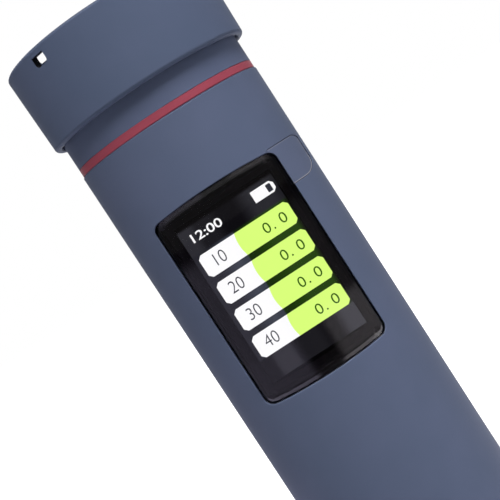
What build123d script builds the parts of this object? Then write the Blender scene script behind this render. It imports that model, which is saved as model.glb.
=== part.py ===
from build123d import *
from math import cos, radians, sin, sqrt
import os

# Handheld densitometer: a round barrel with a display, a measuring head and a push-on cap.
# It stands on its flat tail. Z runs up the barrel from the tail at Z = 0 to the cap's end.
# The display looks towards -Y, and the measuring key lies beside it on the +X side.
# All sizes are in millimetres.

# Barrel
overall_length = 108.0
body_radius = 15.0
body_wall = 2.0
body_edge_round = 0.25
slip = 0.05

# Cap and neck, from the cap's end downwards
cap_length = 12.35
cap_wall = 1.1
cap_clearance = 0.25
cap_flare = 0.28
lip_round = 0.55
lip_chamfer = 0.2
rim_wall = 1.2
rim_round = 0.4
dish_depth = 2.2
dish_round = 0.5
cap_floor = 1.6
neck_reveal = 3.85
neck_step = 0.15
ring_height = 1.2
ring_round = 0.12

# Lanyard hole through the rim of the dish
lanyard_angle = -37.4
lanyard_width = 2.4
lanyard_height = 1.6
lanyard_strip = 1.1
lanyard_round = 0.6
lanyard_overcut = 0.3

# Calibration tile inside the cap
tile_radius = 9.6
tile_thickness = 1.5
tile_chamfer = 0.2
tile_gap = 0.3
cushion_thickness = 0.4
cushion_inset = 0.8
retainer_lip = 0.5
retainer_overlap = 0.9
retainer_wall = 2.55
retainer_chamfer = 0.3
rib_height = 1.6
rib_wall = 1.0

# Measuring head
aperture_radius = 4.0
aperture_ring_radius = 8.0
aperture_proud = 0.7
aperture_seat = 0.7
aperture_chamfer = 0.5
nose_plate = 0.8
nose_wall = 0.8
nose_round = 0.4
nose_straight = 0.9
shoulder_height = 2.4
spigot_wall = 1.5
spigot_length = 7.0
grip_section = 0.6
grip_rise = 1.3
grip_fit = 0.06
groove_clearance = 0.05
glass_radius = 6.0
glass_thickness = 0.8

# Optics: the lamps light the sample at 45 degrees and the sensor looks straight at it
lamp_count = 6
lamp_circle_radius = 8.4
lamp_length = 1.6
lamp_width = 1.0
lamp_height = 0.6
channel_radius = 1.25
cavity_radius = 5.0
cavity_depth = 2.4
sight_radius = 2.4
lens_radius = 3.3
lens_edge = 0.8
lens_dome = 0.7
lens_seat_rise = 1.8
lamp_board_thickness = 1.0
baffle_flange = 1.0
baffle_flange_inset = 0.6
baffle_foot_wall = 1.4
baffle_foot_height = 2.0
baffle_wall = 1.0
sensor_board_thickness = 1.2
sensor_board_inset = 0.5
sensor_size = 5.0
sensor_height = 1.1
sensor_clearance = 0.2
optics_screw_count = 3
optics_screw_margin = 1.8
optics_screw_radius = 0.7
optics_screw_head = 1.3
optics_screw_grip = 2.4
screw_head_height = 1.0

# Display window
window_drop = 11.1
window_end_border = 2.4
window_side_border = 2.3
window_arch = 0.55
window_corner = 1.25
window_gap = 0.06
window_sink = 0.05
window_bevel_drop = 0.3
window_bevel = 0.75
window_thickness = 1.0
recess_round = 0.12
gasket_thickness = 0.15
gasket_margin = 0.1
view_length = 25.2
view_width = 15.0
panel_border = 0.7
panel_thickness = 1.6
panel_tray = 1.0
panel_step = 0.3
panel_clearance = 0.3
opening_clearance = 0.2
opening_corner = 0.5
frame_depth = 3.1
frame_wall = 1.2
display_flex_width = 7.0
display_flex_thickness = 0.2
display_flex_drop = 3.0
flex_bend = 0.7

# Measuring key
key_height = 5.85
key_drop = 0.1
key_wrap = 0.85
key_edge_inset = 0.85
key_corner = 1.9
key_upper_corner = 1.0
key_inner_corner = 0.2
key_gap = 0.035
key_clearance = 0.07
key_skin = 1.2
key_side = 0.9
key_travel = 0.3
key_back = 1.8
key_flange = 0.7
key_flange_thickness = 0.6
key_flange_inset = 0.8
key_boss_radius = 0.7
switch_inset = 0.4
switch_width = 1.5
switch_length = 3.0
switch_height = 0.7
plunger_radius = 0.55
plunger_proud = 0.5
plunger_depth = 0.25
switch_pit = 0.6

# Boards
board_thickness = 1.2
board_edge_margin = 0.6
board_foot_margin = 1.8
board_head_gap = 0.4
board_foot = 3.0
board_foot_rise = 0.6
tab_margin = 0.05
chip_size = 7.0
chip_thickness = 0.9
chip_drop = 7.0
radio_width = 10.0
radio_length = 12.0
radio_thickness = 1.6
radio_rise = 11.0
connector_width = 8.4
connector_length = 2.6
connector_height = 1.1
battery_plug_width = 5.0
battery_plug_length = 3.4
battery_plug_height = 2.2
usb_width = 8.94
usb_height = 3.2
usb_length = 7.3
usb_shell = 0.3
usb_recess = 1.0
usb_tongue = 0.7
usb_tongue_width = 6.7
usb_clearance = 0.25
board_screw_radius = 0.7
board_screw_head = 1.25
board_screw_grip = 3.0
board_screw_rise = 5.0
board_screw_drop = 7.2

# Chassis and battery
bulkhead_thickness = 1.6
bulkhead_clearance = 0.2
rail_depth = 4.2
rail_width = 2.9
rail_inset = 0.6
spine_inset = 0.45
spine_thickness = 1.6
spine_slot_width = 9.0
spine_slot_length = 8.0
spine_slot_count = 3
foot_thickness = 2.0
battery_inset = 2.5
battery_round = 1.2
battery_rise = 9.0
battery_drop = 20.8
battery_gap = 1.195
battery_fit = 0.4
pad_thickness = 0.4
pad_inset = 1.5
cradle_wall = 1.2
cradle_height = 3.2
lead_radius = 0.5
lead_spacing = 1.8
lead_bend = 1.6
lead_rise = 3.5
sensor_flex_width = 6.0
sensor_flex_landing = 3.0
sensor_flex_drop = 4.0
sensor_flex_offset = 1.8

# Tail
tail_height = 6.0
tail_floor = 2.4
tail_round = 1.2
tail_spigot_length = 5.0
seal_section = 0.45
seal_rise = 2.0
seal_fit = 0.02
tail_screw_radius = 1.0
tail_screw_head = 1.9
tail_screw_head_height = 1.2
tail_screw_sink = 0.3
tail_screw_angle = 32.6
tail_screw_grip = 3.4
post_wall = 1.3
post_clearance = 0.6

# Radii and heights that follow
body_bore = body_radius - body_wall
neck_radius = body_radius - neck_step
spigot_radius = body_bore - slip
spigot_bore = spigot_radius - spigot_wall
cap_base = overall_length - cap_length
ring_top = cap_base - neck_reveal
body_top = ring_top - ring_height
cap_bore = neck_radius + cap_clearance
cap_lip_radius = cap_bore + cap_wall
cap_end_radius = cap_lip_radius + cap_flare
rim_bore = cap_end_radius - rim_wall
dish_floor = overall_length - dish_depth
cap_ceiling = dish_floor - cap_floor
tile_top = cap_ceiling - cushion_thickness
tile_face = tile_top - tile_thickness
retainer_radius = tile_radius + slip + retainer_wall
aperture_face = tile_face - tile_gap
head_face = aperture_face - aperture_proud
seat_floor = head_face - aperture_seat
glass_top = seat_floor - nose_plate
glass_bottom = glass_top - glass_thickness
nose_radius = spigot_bore + nose_wall
grip_height = cap_base + grip_rise
grip_ring_radius = cap_bore - grip_fit - grip_section
spigot_bottom = body_top - spigot_length
optics_bottom = aperture_face - lamp_circle_radius
lamp_board_bottom = optics_bottom - lamp_board_thickness
baffle_flange_bottom = lamp_board_bottom - baffle_flange
optics_radius = spigot_bore - slip
baffle_flange_radius = optics_radius - baffle_flange_inset
optics_screw_circle = baffle_flange_radius - optics_screw_margin
sensor_board_radius = body_bore - sensor_board_inset
lens_top = optics_bottom + lens_seat_rise
lens_bottom = lens_top - lens_edge
sensor_board_bottom = spigot_bottom - sensor_board_thickness
bulkhead_bottom = sensor_board_bottom - bulkhead_thickness

# Depths behind the window, counted along Y from the barrel's axis
window_length = view_length + 2 * window_end_border
window_width = view_width + 2 * window_side_border
window_top = body_top - window_drop
window_middle = window_top - window_length / 2
window_face_radius = body_radius - window_sink
window_back_radius = window_face_radius - window_thickness
ledge_radius = window_back_radius - gasket_thickness
opening_width = view_width + 2 * (panel_border + opening_clearance)
opening_length = view_length + 2 * (panel_border + opening_clearance)
panel_half_width = view_width / 2 + panel_border
panel_low = window_middle - view_length / 2 - panel_border
panel_high = window_middle + view_length / 2 + panel_border
panel_front = -sqrt((window_back_radius - panel_clearance) ** 2 - panel_half_width**2)
panel_back = panel_front + panel_thickness
board_front = panel_back + frame_depth
board_back = board_front + board_thickness
spine_front = board_back + rail_depth
spine_back = spine_front + spine_thickness
battery_front = spine_back + pad_thickness
tail_top = tail_height + tail_spigot_length
battery_foot = tail_top + battery_rise
battery_top = bulkhead_bottom - battery_drop
spine_half_width = spigot_bore - spine_inset
battery_width = 2 * (spine_half_width - battery_inset)
battery_back = sqrt((body_bore - battery_gap) ** 2 - (battery_width / 2) ** 2)
rail_outer = spine_half_width - rail_inset
rail_inner = rail_outer - rail_width
board_half_width = rail_outer - board_edge_margin
board_foot_half_width = board_half_width - board_foot_margin
board_top = bulkhead_bottom - board_head_gap
board_screw_heights = (tail_top + board_screw_rise, panel_low - board_screw_drop)
radio_bottom = tail_top + radio_rise
post_radius = tail_screw_radius + post_wall
post_circle = spigot_bore - post_radius - post_clearance
post_top = tail_top - foot_thickness
connector_top = panel_low - display_flex_drop
lead_height = battery_top + lead_rise
usb_middle = board_back + usb_height / 2

# The key and its switch
key_edge = window_width / 2 + window_gap + key_gap
key_left = key_edge - key_wrap
key_reach = body_radius - key_edge_inset
key_flange_reach = body_bore - key_flange_inset
key_top = window_top - key_drop
key_bottom = key_top - key_height
key_middle = (key_top + key_bottom) / 2
key_inner_radius = body_radius - key_skin
flange_radius = body_bore - key_clearance
switch_middle = key_edge + switch_inset
switch_face = board_front - switch_height
plunger_face = switch_face - plunger_proud


def disc(radius, low, high):
    """A round plate on the barrel's axis between two heights."""
    return Pos(0, 0, low) * Cylinder(radius, high - low, align=(Align.CENTER, Align.CENTER, Align.MIN))


def peg(x, y, radius, low, high):
    """A round peg parallel to the barrel."""
    return Pos(x, y, 0) * disc(radius, low, high)


def ring(outer, inner, low, high):
    """A plain ring on the barrel's axis."""
    return disc(outer, low, high) - disc(inner, low, high)


def block(x_span, y_span, z_span):
    """A box given by its lowest and highest coordinate on each axis."""
    spans = (x_span, y_span, z_span)
    size = [high - low for low, high in spans]
    low_corner = [low for low, high in spans]
    return Pos(*low_corner) * Box(*size, align=(Align.MIN, Align.MIN, Align.MIN))


def turned(points):
    """A solid turned about the barrel's axis from a closed outline of (radius, height) points."""
    outline = Polyline([(radius, 0, height) for radius, height in points], close=True)
    return revolve(make_face(outline), Axis.Z)


def rims(solid, radius, height):
    """The round edges of one radius that lie at one height."""
    circles = solid.edges().filter_by(GeomType.CIRCLE)
    return [e for e in circles if abs(e.radius - radius) < 1e-4 and abs(e.arc_center.Z - height) < 1e-4]


def from_front(face, x_middle, z_middle, back):
    """A face as the front shows it, carried from before the barrel to a depth along Y."""
    start = -body_radius - 1
    front = Plane(origin=(x_middle, start, z_middle), x_dir=(1, 0, 0), z_dir=(0, -1, 0))
    return extrude(front * face, amount=start - back)


def rod(x, z, radius, front, back):
    """A round rod that lies along Y."""
    plane = Plane(origin=(x, front, z), x_dir=(1, 0, 0), z_dir=(0, 1, 0))
    return extrude(plane * Circle(radius), amount=back - front)


def strip(points, bend, width, thickness):
    """A flat flex bent in the YZ plane along (y, z) points."""
    path = FilletPolyline([(0, y, z) for y, z in points], radius=bend)
    plane = Plane(origin=path @ 0, x_dir=(1, 0, 0), z_dir=path % 0)
    return sweep(plane * Rectangle(width, thickness), path=path)


def around(shape, count, first=0.0):
    """Copies of a shape spaced evenly about the barrel's axis."""
    copies = [Rot(0, 0, first + 360.0 * i / count) * shape for i in range(count)]
    return Part() + copies


def window_outline(margin):
    """The cover lens's outline, widened by a margin, reaching back to the main board."""
    half_width = window_width / 2
    half_length = window_length / 2
    shoulder = half_length - window_arch
    sides = Polyline((-half_width, shoulder), (-half_width, -half_length), (half_width, -half_length))
    sides += Line((half_width, -half_length), (half_width, shoulder))
    arch = ThreePointArc((half_width, shoulder), (0, half_length), (-half_width, shoulder))
    face = make_face(sides + arch)
    face = fillet(face.vertices(), window_corner)
    if margin:
        face = offset(face, amount=margin)
    return from_front(face, 0, window_middle, board_front)


def key_outline(margin, back):
    """The key as the front shows it, widened by a margin: it wraps round the window's upper corner."""
    face = Rectangle(key_reach - key_left + 2 * margin, key_height + 2 * margin)
    corners = face.vertices().sort_by(Axis.X)
    lower, upper = corners[-2:].sort_by(Axis.Y)
    face = fillet(lower, key_corner + margin)
    face = fillet(face.vertices().group_by(Axis.Y)[-1].sort_by(Axis.X)[-1], key_upper_corner + margin)
    face = fillet(face.vertices().sort_by(Axis.X)[:2], key_inner_corner)
    key = from_front(face, (key_left + key_reach) / 2, key_middle, back)
    return key - window_outline(window_gap + key_gap - margin)


def light_opening(margin):
    """The opening that the display panel looks through, widened by a margin."""
    face = RectangleRounded(opening_width + 2 * margin, opening_length + 2 * margin, opening_corner)
    return from_front(face, 0, window_middle, board_front)


def make_body_shell():
    """The barrel, with a stepped recess for the cover lens and an opening for the key."""
    shell = ring(body_radius, body_bore, tail_height, body_top)
    shell = fillet(rims(shell, body_radius, body_top), body_edge_round)
    shell -= window_outline(window_gap) - disc(ledge_radius, tail_height, body_top)
    shell -= key_outline(key_gap, key_travel + key_clearance - key_back)
    barrel = shell.faces().filter_by(lambda f: f.geom_type == GeomType.CYLINDER and f.radius == body_radius)
    shell = fillet(barrel.sort_by(SortBy.AREA)[-1].inner_wires().edges(), recess_round)
    return shell - light_opening(0)


def make_display_window():
    """The cover lens, curved like the barrel, with a bevel all round its face."""
    lens = window_outline(0) & ring(window_face_radius, window_back_radius, tail_height, body_top)
    face = lens.faces().filter_by(GeomType.CYLINDER).sort_by(lambda f: abs(f.radius - window_face_radius))[0]
    return chamfer(face.outer_wire().edges(), window_bevel, window_bevel_drop, reference=face)


def make_window_gasket():
    """The adhesive frame between the cover lens and its ledge."""
    frame = window_outline(-gasket_margin) - light_opening(gasket_margin)
    return frame & ring(window_back_radius, ledge_radius, tail_height, body_top)


def make_display_panel():
    """The display: a glass plate on a slightly wider backlight tray."""
    tray = block(
        (-panel_half_width, panel_half_width),
        (panel_back - panel_tray, panel_back),
        (panel_low, panel_high),
    )
    inset = panel_half_width - panel_step
    glass = block(
        (-inset, inset),
        (panel_front, panel_back - panel_tray),
        (panel_low + panel_step, panel_high - panel_step),
    )
    return tray + glass


def make_display_frame():
    """The open frame that holds the display off the main board."""
    outer = block((-panel_half_width, panel_half_width), (panel_back, board_front), (panel_low, panel_high))
    inner_half = panel_half_width - frame_wall
    inner = block(
        (-inner_half, inner_half),
        (panel_back, board_front),
        (panel_low + frame_wall, panel_high - frame_wall),
    )
    return outer - inner


def make_display_flex():
    """The display's flex, which steps back from the panel's lower edge to its connector."""
    middle = (panel_front + panel_back) / 2
    landing = board_front - connector_height / 2
    step = (panel_low + connector_top) / 2
    points = [(middle, panel_low), (middle, step), (landing, step), (landing, connector_top)]
    return strip(points, flex_bend, display_flex_width, display_flex_thickness)


def make_flex_connector():
    """The connector that the display's flex plugs into."""
    half = connector_width / 2
    return block(
        (-half, half),
        (board_front - connector_height, board_front),
        (connector_top - connector_length, connector_top),
    )


def make_measure_key():
    """The key: a curved skin with deep end walls, flanges behind the barrel's wall and a boss."""
    inner = flange_radius - key_flange_thickness
    key = key_outline(0, -key_back) & ring(body_radius, inner, tail_height, body_top)
    flange = ring(flange_radius, inner, key_bottom - key_flange, key_top + key_flange)
    key += flange & block((key_edge, key_flange_reach), (-body_radius, -key_back), (tail_height, body_top))
    hollow = block(
        (0, key_reach - key_side),
        (-body_radius, 0),
        (key_bottom + key_side, key_top - key_side),
    )
    key -= hollow & disc(key_inner_radius, tail_height, body_top)
    skin_middle = sqrt((body_radius - key_skin / 2) ** 2 - switch_middle**2)
    boss = rod(switch_middle, key_middle, key_boss_radius, -skin_middle, plunger_face)
    return key + (boss & key_outline(0, plunger_face))


def make_key_switch():
    """The switch under the key, with the pit that its plunger slides in."""
    body = block(
        (switch_middle - switch_width / 2, switch_middle + switch_width / 2),
        (switch_face, board_front),
        (key_middle - switch_length / 2, key_middle + switch_length / 2),
    )
    pit_floor = switch_face + switch_pit
    return body - rod(switch_middle, key_middle, plunger_radius + slip, switch_face, pit_floor)


def make_switch_plunger():
    """The plunger between the key's boss and the switch."""
    return rod(switch_middle, key_middle, plunger_radius, plunger_face, switch_face + plunger_depth)


def make_accent_ring():
    """The coloured ring between barrel and neck."""
    band = ring(neck_radius, body_bore, body_top, ring_top)
    return fillet(rims(band, neck_radius, body_top) + rims(band, neck_radius, ring_top), ring_round)


def make_head_shell():
    """The neck and nose in one moulding, with a spigot that plugs into the barrel."""
    groove_floor = grip_ring_radius - grip_section - groove_clearance
    groove_half = grip_section + groove_clearance
    shoulder_top = head_face - nose_straight
    shoulder_bottom = shoulder_top - shoulder_height
    head = turned(
        [
            (spigot_bore, spigot_bottom),
            (spigot_radius, spigot_bottom),
            (spigot_radius, ring_top),
            (neck_radius, ring_top),
            (neck_radius, grip_height - groove_half),
            (groove_floor, grip_height - groove_half),
            (groove_floor, grip_height + groove_half),
            (neck_radius, grip_height + groove_half),
            (neck_radius, shoulder_bottom),
            (nose_radius, shoulder_top),
            (nose_radius, head_face),
            (aperture_ring_radius + slip, head_face),
            (aperture_ring_radius + slip, seat_floor),
            (cavity_radius, seat_floor),
            (cavity_radius, glass_top),
            (spigot_bore, glass_top),
        ]
    )
    return fillet(rims(head, nose_radius, head_face), nose_round)


def make_cap_grip_ring():
    """The soft ring on the neck that grips the cap's bore."""
    return Pos(0, 0, grip_height) * Torus(grip_ring_radius, grip_section)


def make_aperture_ring():
    """The hard ring round the measuring aperture, opening towards the optics."""
    return turned(
        [
            (cavity_radius, seat_floor),
            (aperture_ring_radius, seat_floor),
            (aperture_ring_radius, aperture_face - aperture_chamfer),
            (aperture_ring_radius - aperture_chamfer, aperture_face),
            (aperture_radius, aperture_face),
        ]
    )


def make_protective_glass():
    """The glass that keeps dust out of the optics."""
    return disc(glass_radius, glass_bottom, glass_top)


def make_optics_block():
    """The block that guides the lamps' light at 45 degrees and carries the sensor's lens."""
    cavity_floor = glass_bottom - cavity_depth
    core = turned(
        [
            (lens_radius + slip, optics_bottom),
            (optics_radius, optics_bottom),
            (optics_radius, glass_top),
            (glass_radius + slip, glass_top),
            (glass_radius + slip, glass_bottom),
            (cavity_radius, glass_bottom),
            (sight_radius, cavity_floor),
            (sight_radius, lens_top),
            (lens_radius + slip, lens_top),
        ]
    )
    start = Vector(lamp_circle_radius, 0, optics_bottom)
    towards_sample = Vector(-lamp_circle_radius, 0, aperture_face - optics_bottom).normalized()
    overrun = 2 * channel_radius
    plane = Plane(origin=start - towards_sample * overrun, z_dir=towards_sample)
    reach = (glass_bottom - optics_bottom) / towards_sample.Z + overrun
    channel = extrude(plane * Circle(channel_radius), amount=reach)
    core -= around(channel, lamp_count)
    return core - screw_holes(optics_bottom + optics_screw_grip + slip)


def screw_holes(top):
    """Clearance holes for the screws of the optics, up to a height."""
    hole = peg(optics_screw_circle, 0, optics_screw_radius + slip, baffle_flange_bottom, top)
    return around(hole, optics_screw_count, 180.0 / lamp_count)


def make_collector_lens():
    """The sensor's lens, flat towards the sample and domed towards the sensor."""
    dome_radius = sight_radius - slip
    rim = lens_bottom
    outline = Polyline(
        [(0, 0, rim - lens_dome), (0, 0, lens_top), (lens_radius, 0, lens_top), (lens_radius, 0, rim)]
        + [(dome_radius, 0, rim)]
    )
    bulge = (dome_radius**2 + lens_dome**2) / (2 * lens_dome)
    centre_height = rim - lens_dome + bulge
    half_angle = radians(45) * dome_radius / bulge
    middle = (bulge * sin(half_angle), 0, centre_height - bulge * cos(half_angle))
    dome = ThreePointArc((dome_radius, 0, rim), middle, (0, 0, rim - lens_dome))
    return revolve(make_face(outline + dome), Axis.Z)


def make_led_board():
    """The ring-shaped board that carries the lamps."""
    board = ring(optics_radius, lens_radius + 2 * slip, lamp_board_bottom, optics_bottom)
    return board - screw_holes(optics_bottom)


def make_leds():
    """The lamps, one at the foot of each light channel."""
    half_length = lamp_length / 2
    half_width = lamp_width / 2
    lamp = block(
        (lamp_circle_radius - half_width, lamp_circle_radius + half_width),
        (-half_length, half_length),
        (optics_bottom, optics_bottom + lamp_height),
    )
    return around(lamp, lamp_count)


def make_light_baffle():
    """The black spool that shields the sensor and carries the lamp board."""
    foot_bore = sensor_size / sqrt(2) + sensor_clearance
    foot_radius = foot_bore + baffle_foot_wall
    foot_top = spigot_bottom + baffle_foot_height
    spool = turned(
        [
            (foot_bore, spigot_bottom),
            (foot_radius, spigot_bottom),
            (foot_radius, foot_top + baffle_wall),
            (lens_radius, foot_top + baffle_wall),
            (lens_radius, baffle_flange_bottom),
            (baffle_flange_radius, baffle_flange_bottom),
            (baffle_flange_radius, lamp_board_bottom),
            (lens_radius, lamp_board_bottom),
            (lens_radius, lens_bottom),
            (sight_radius, lens_bottom),
            (sight_radius, foot_top),
            (foot_bore, foot_top),
        ]
    )
    return spool - screw_holes(lamp_board_bottom)


def make_optics_screws():
    """The screws that clamp baffle, lamp board and optics block together."""
    head_bottom = baffle_flange_bottom - screw_head_height
    head = peg(optics_screw_circle, 0, optics_screw_head, head_bottom, baffle_flange_bottom)
    shaft_top = optics_bottom + optics_screw_grip
    shaft = peg(optics_screw_circle, 0, optics_screw_radius, baffle_flange_bottom, shaft_top)
    return around(head + shaft, optics_screw_count, 180.0 / lamp_count)


def make_sensor_board():
    """The round board behind the optics, clamped between spigot and chassis."""
    return disc(sensor_board_radius, sensor_board_bottom, spigot_bottom)


def make_sensor_chip():
    """The light sensor."""
    half = sensor_size / 2
    return block((-half, half), (-half, half), (spigot_bottom, spigot_bottom + sensor_height))


def make_sensor_flex():
    """The flex from the sensor board through the chassis to the back of the main board."""
    on_board = board_back + display_flex_thickness / 2
    free = on_board + sensor_flex_offset
    bend_top = bulkhead_bottom - sensor_flex_drop + sensor_flex_offset
    bend_bottom = bulkhead_bottom - sensor_flex_drop
    points = [
        (free, sensor_board_bottom),
        (free, bend_top),
        (on_board, bend_bottom),
        (on_board, bend_bottom - sensor_flex_landing),
    ]
    return strip(points, flex_bend, sensor_flex_width, display_flex_thickness)


def make_cap_shell():
    """The push-on cap: a dished end, a lanyard hole in the rim and a rib for the tile's retainer."""
    rib_bore = retainer_radius + slip
    rib_radius = rib_bore + rib_wall
    cap = turned(
        [
            (cap_bore, cap_base),
            (cap_lip_radius, cap_base),
            (cap_end_radius, overall_length),
            (rim_bore, overall_length),
            (rim_bore, dish_floor),
            (0, dish_floor),
            (0, cap_ceiling),
            (rib_bore, cap_ceiling),
            (rib_bore, cap_ceiling - rib_height),
            (rib_radius, cap_ceiling - rib_height),
            (rib_radius, cap_ceiling),
            (cap_bore, cap_ceiling),
        ]
    )
    cap = fillet(rims(cap, cap_lip_radius, cap_base), lip_round)
    cap = chamfer(rims(cap, cap_bore, cap_base), lip_chamfer)
    cap = fillet(rims(cap, cap_end_radius, overall_length) + rims(cap, rim_bore, overall_length), rim_round)
    cap = fillet(rims(cap, rim_bore, dish_floor), dish_round)
    return cap - make_lanyard_cutter()


def make_lanyard_cutter():
    """The lanyard hole: square towards the cap's end and rounded towards the barrel."""
    turn = radians(lanyard_angle)
    outward = Vector(sin(turn), -cos(turn), 0)
    sideways = Vector(cos(turn), sin(turn), 0)
    middle = overall_length - lanyard_strip - lanyard_height / 2
    origin = outward * (rim_bore - lanyard_overcut) + Vector(0, 0, middle)
    face = Rectangle(lanyard_width, lanyard_height)
    face = fillet(face.vertices().sort_by(Axis.Y)[:2], lanyard_round)
    plane = Plane(origin=origin, x_dir=sideways, z_dir=outward)
    return extrude(plane * face, amount=rim_wall + cap_wall)


def make_calibration_tile():
    """The white reference tile that closes the aperture while the cap is on."""
    tile = disc(tile_radius, tile_face, tile_top)
    return chamfer(rims(tile, tile_radius, tile_face), tile_chamfer)


def make_tile_cushion():
    """The foam disc that presses the tile against its retainer."""
    return disc(tile_radius - cushion_inset, tile_top, cap_ceiling)


def make_tile_retainer():
    """The ring that snaps into the cap's rib and holds the tile by its edge."""
    lip_radius = tile_radius - retainer_overlap
    lip_bottom = tile_face - retainer_lip
    return turned(
        [
            (lip_radius + retainer_chamfer, lip_bottom),
            (retainer_radius - retainer_chamfer, lip_bottom),
            (retainer_radius, lip_bottom + retainer_chamfer),
            (retainer_radius, cap_ceiling),
            (tile_radius + slip, cap_ceiling),
            (tile_radius + slip, tile_face),
            (lip_radius, tile_face),
            (lip_radius, lip_bottom + retainer_chamfer),
        ]
    )


def make_main_board():
    """The main board, with a narrow foot in the tail and a tab under the key."""
    y_span = (board_front, board_back)
    waist = tail_top + board_foot_rise
    board = block((-board_half_width, board_half_width), y_span, (waist, board_top))
    board += block((-board_foot_half_width, board_foot_half_width), y_span, (board_foot, waist))
    tab_reach = switch_middle + switch_width / 2 + tab_margin
    tab_half = switch_length / 2 + tab_margin
    board += block((0, tab_reach), y_span, (key_middle - tab_half, key_middle + tab_half))
    for x, z in board_screw_places():
        board -= rod(x, z, board_screw_radius + slip, board_front, board_back)
    return board


def board_screw_places():
    """The (x, z) places of the screws that hold the main board on the rails."""
    x = (rail_inner + board_half_width) / 2
    return [(side * x, z) for side in (-1, 1) for z in board_screw_heights]


def make_board_screws():
    """The screws of the main board."""
    screws = Part()
    for x, z in board_screw_places():
        screws += rod(x, z, board_screw_head, board_front - screw_head_height, board_front)
        screws += rod(x, z, board_screw_radius, board_front, board_back + board_screw_grip)
    return screws


def make_main_chip():
    """The processor, inside the display's frame."""
    half = chip_size / 2
    top = panel_high - chip_drop
    return block((-half, half), (board_front - chip_thickness, board_front), (top - chip_size, top))


def make_radio_module():
    """The radio module on the lower front of the main board."""
    half = radio_width / 2
    return block(
        (-half, half),
        (board_front - radio_thickness, board_front),
        (radio_bottom, radio_bottom + radio_length),
    )


def make_battery_connector():
    """The battery's plug on the back of the main board."""
    half_width = battery_plug_width / 2
    half_length = battery_plug_length / 2
    return block(
        (-half_width, half_width),
        (board_back, board_back + battery_plug_height),
        (lead_height - half_length, lead_height + half_length),
    )


def make_battery_leads():
    """The two leads from the cell's end through the chassis to the plug."""
    cell_middle = (battery_front + battery_back) / 2
    plug = board_back + battery_plug_height
    leads = Part()
    for side in (-1, 1):
        x = side * lead_spacing / 2
        points = [(x, cell_middle, battery_top), (x, cell_middle, lead_height), (x, plug, lead_height)]
        path = FilletPolyline(points, radius=lead_bend)
        leads += sweep(Plane(origin=path @ 0, z_dir=path % 0) * Circle(lead_radius), path=path)
    return leads


def make_usb_connector():
    """The charging socket: a steel shell, open towards the tail, round a thin tongue."""
    plane = Plane(origin=(0, usb_middle, usb_recess))
    shell = extrude(plane * SlotOverall(usb_width, usb_height), amount=usb_length)
    hollow = SlotOverall(usb_width - 2 * usb_shell, usb_height - 2 * usb_shell)
    shell -= extrude(plane * hollow, amount=usb_length - usb_shell)
    tongue = extrude(
        Plane(origin=(0, usb_middle, usb_recess + usb_shell)) * Rectangle(usb_tongue_width, usb_tongue),
        amount=usb_length - usb_shell,
    )
    return shell + tongue


def tail_screw_places():
    """The (x, y) places of the two screws that hold the tail cap."""
    turn = radians(tail_screw_angle)
    return [(side * post_circle * cos(turn), post_circle * sin(turn)) for side in (-1, 1)]


def make_chassis():
    """The inner frame: a spine with two board rails, a battery cradle and a bulkhead at each end."""
    bulkhead_radius = body_bore - bulkhead_clearance
    chassis = disc(bulkhead_radius, bulkhead_bottom, sensor_board_bottom)
    foot = disc(spigot_bore - bulkhead_clearance, post_top, tail_top)
    chassis += foot & block((-body_radius, body_radius), (spine_front, body_radius), (0, overall_length))
    z_span = (post_top, bulkhead_bottom)
    chassis += block((-spine_half_width, spine_half_width), (spine_front, spine_back), z_span)
    for low, high in ((-rail_outer, -rail_inner), (rail_inner, rail_outer)):
        chassis += block((low, high), (board_back, spine_front), (tail_top, bulkhead_bottom))
    chassis += make_cradle()
    for x, y in tail_screw_places():
        chassis += peg(x, y, post_radius, tail_top, tail_top + tail_screw_grip)
        chassis -= peg(x, y, tail_screw_radius + slip, post_top, tail_top + tail_screw_grip)
    for x, z in board_screw_places():
        chassis -= rod(x, z, board_screw_radius + slip, board_back, board_back + board_screw_grip + slip)
    return chassis - make_spine_slots()


def make_cradle():
    """Low walls on the spine that hold the battery at its foot and sides."""
    half = battery_width / 2 + battery_fit
    y_span = (spine_back, spine_back + cradle_height)
    z_low = battery_foot - battery_fit
    outer = block((-half - cradle_wall, half + cradle_wall), y_span, (z_low - cradle_wall, battery_top))
    return outer - block((-half, half), y_span, (z_low, battery_top))


def make_spine_slots():
    """Openings in the spine: a row under the battery, one for its leads and one for the sensor's flex."""
    y_span = (spine_front, spine_back)
    half = spine_slot_width / 2
    pitch = (battery_top - battery_foot) / spine_slot_count
    slots = Part()
    for i in range(spine_slot_count):
        low = battery_foot + pitch * (i + 0.5) - spine_slot_length / 2
        slots += block((-half, half), y_span, (low, low + spine_slot_length))
    lead_half_width = lead_spacing / 2 + 2 * lead_radius
    lead_half_height = 2 * lead_radius
    slots += block(
        (-lead_half_width, lead_half_width),
        y_span,
        (lead_height - lead_half_height, lead_height + lead_half_height),
    )
    flex_half = sensor_flex_width / 2 + battery_fit
    flex_y = board_back + display_flex_thickness / 2 + sensor_flex_offset
    flex_span = (flex_y - battery_fit, flex_y + battery_fit)
    slots += block((-flex_half, flex_half), flex_span, (bulkhead_bottom, sensor_board_bottom))
    return slots


def make_battery():
    """The flat lithium cell."""
    half = battery_width / 2
    cell = block((-half, half), (battery_front, battery_back), (battery_foot, battery_top))
    return fillet(cell.edges().filter_by(Axis.Z), battery_round)


def make_battery_pad():
    """The adhesive pad between battery and spine."""
    half = battery_width / 2 - pad_inset
    return block(
        (-half, half),
        (spine_back, battery_front),
        (battery_foot + pad_inset, battery_top - pad_inset),
    )


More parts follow.
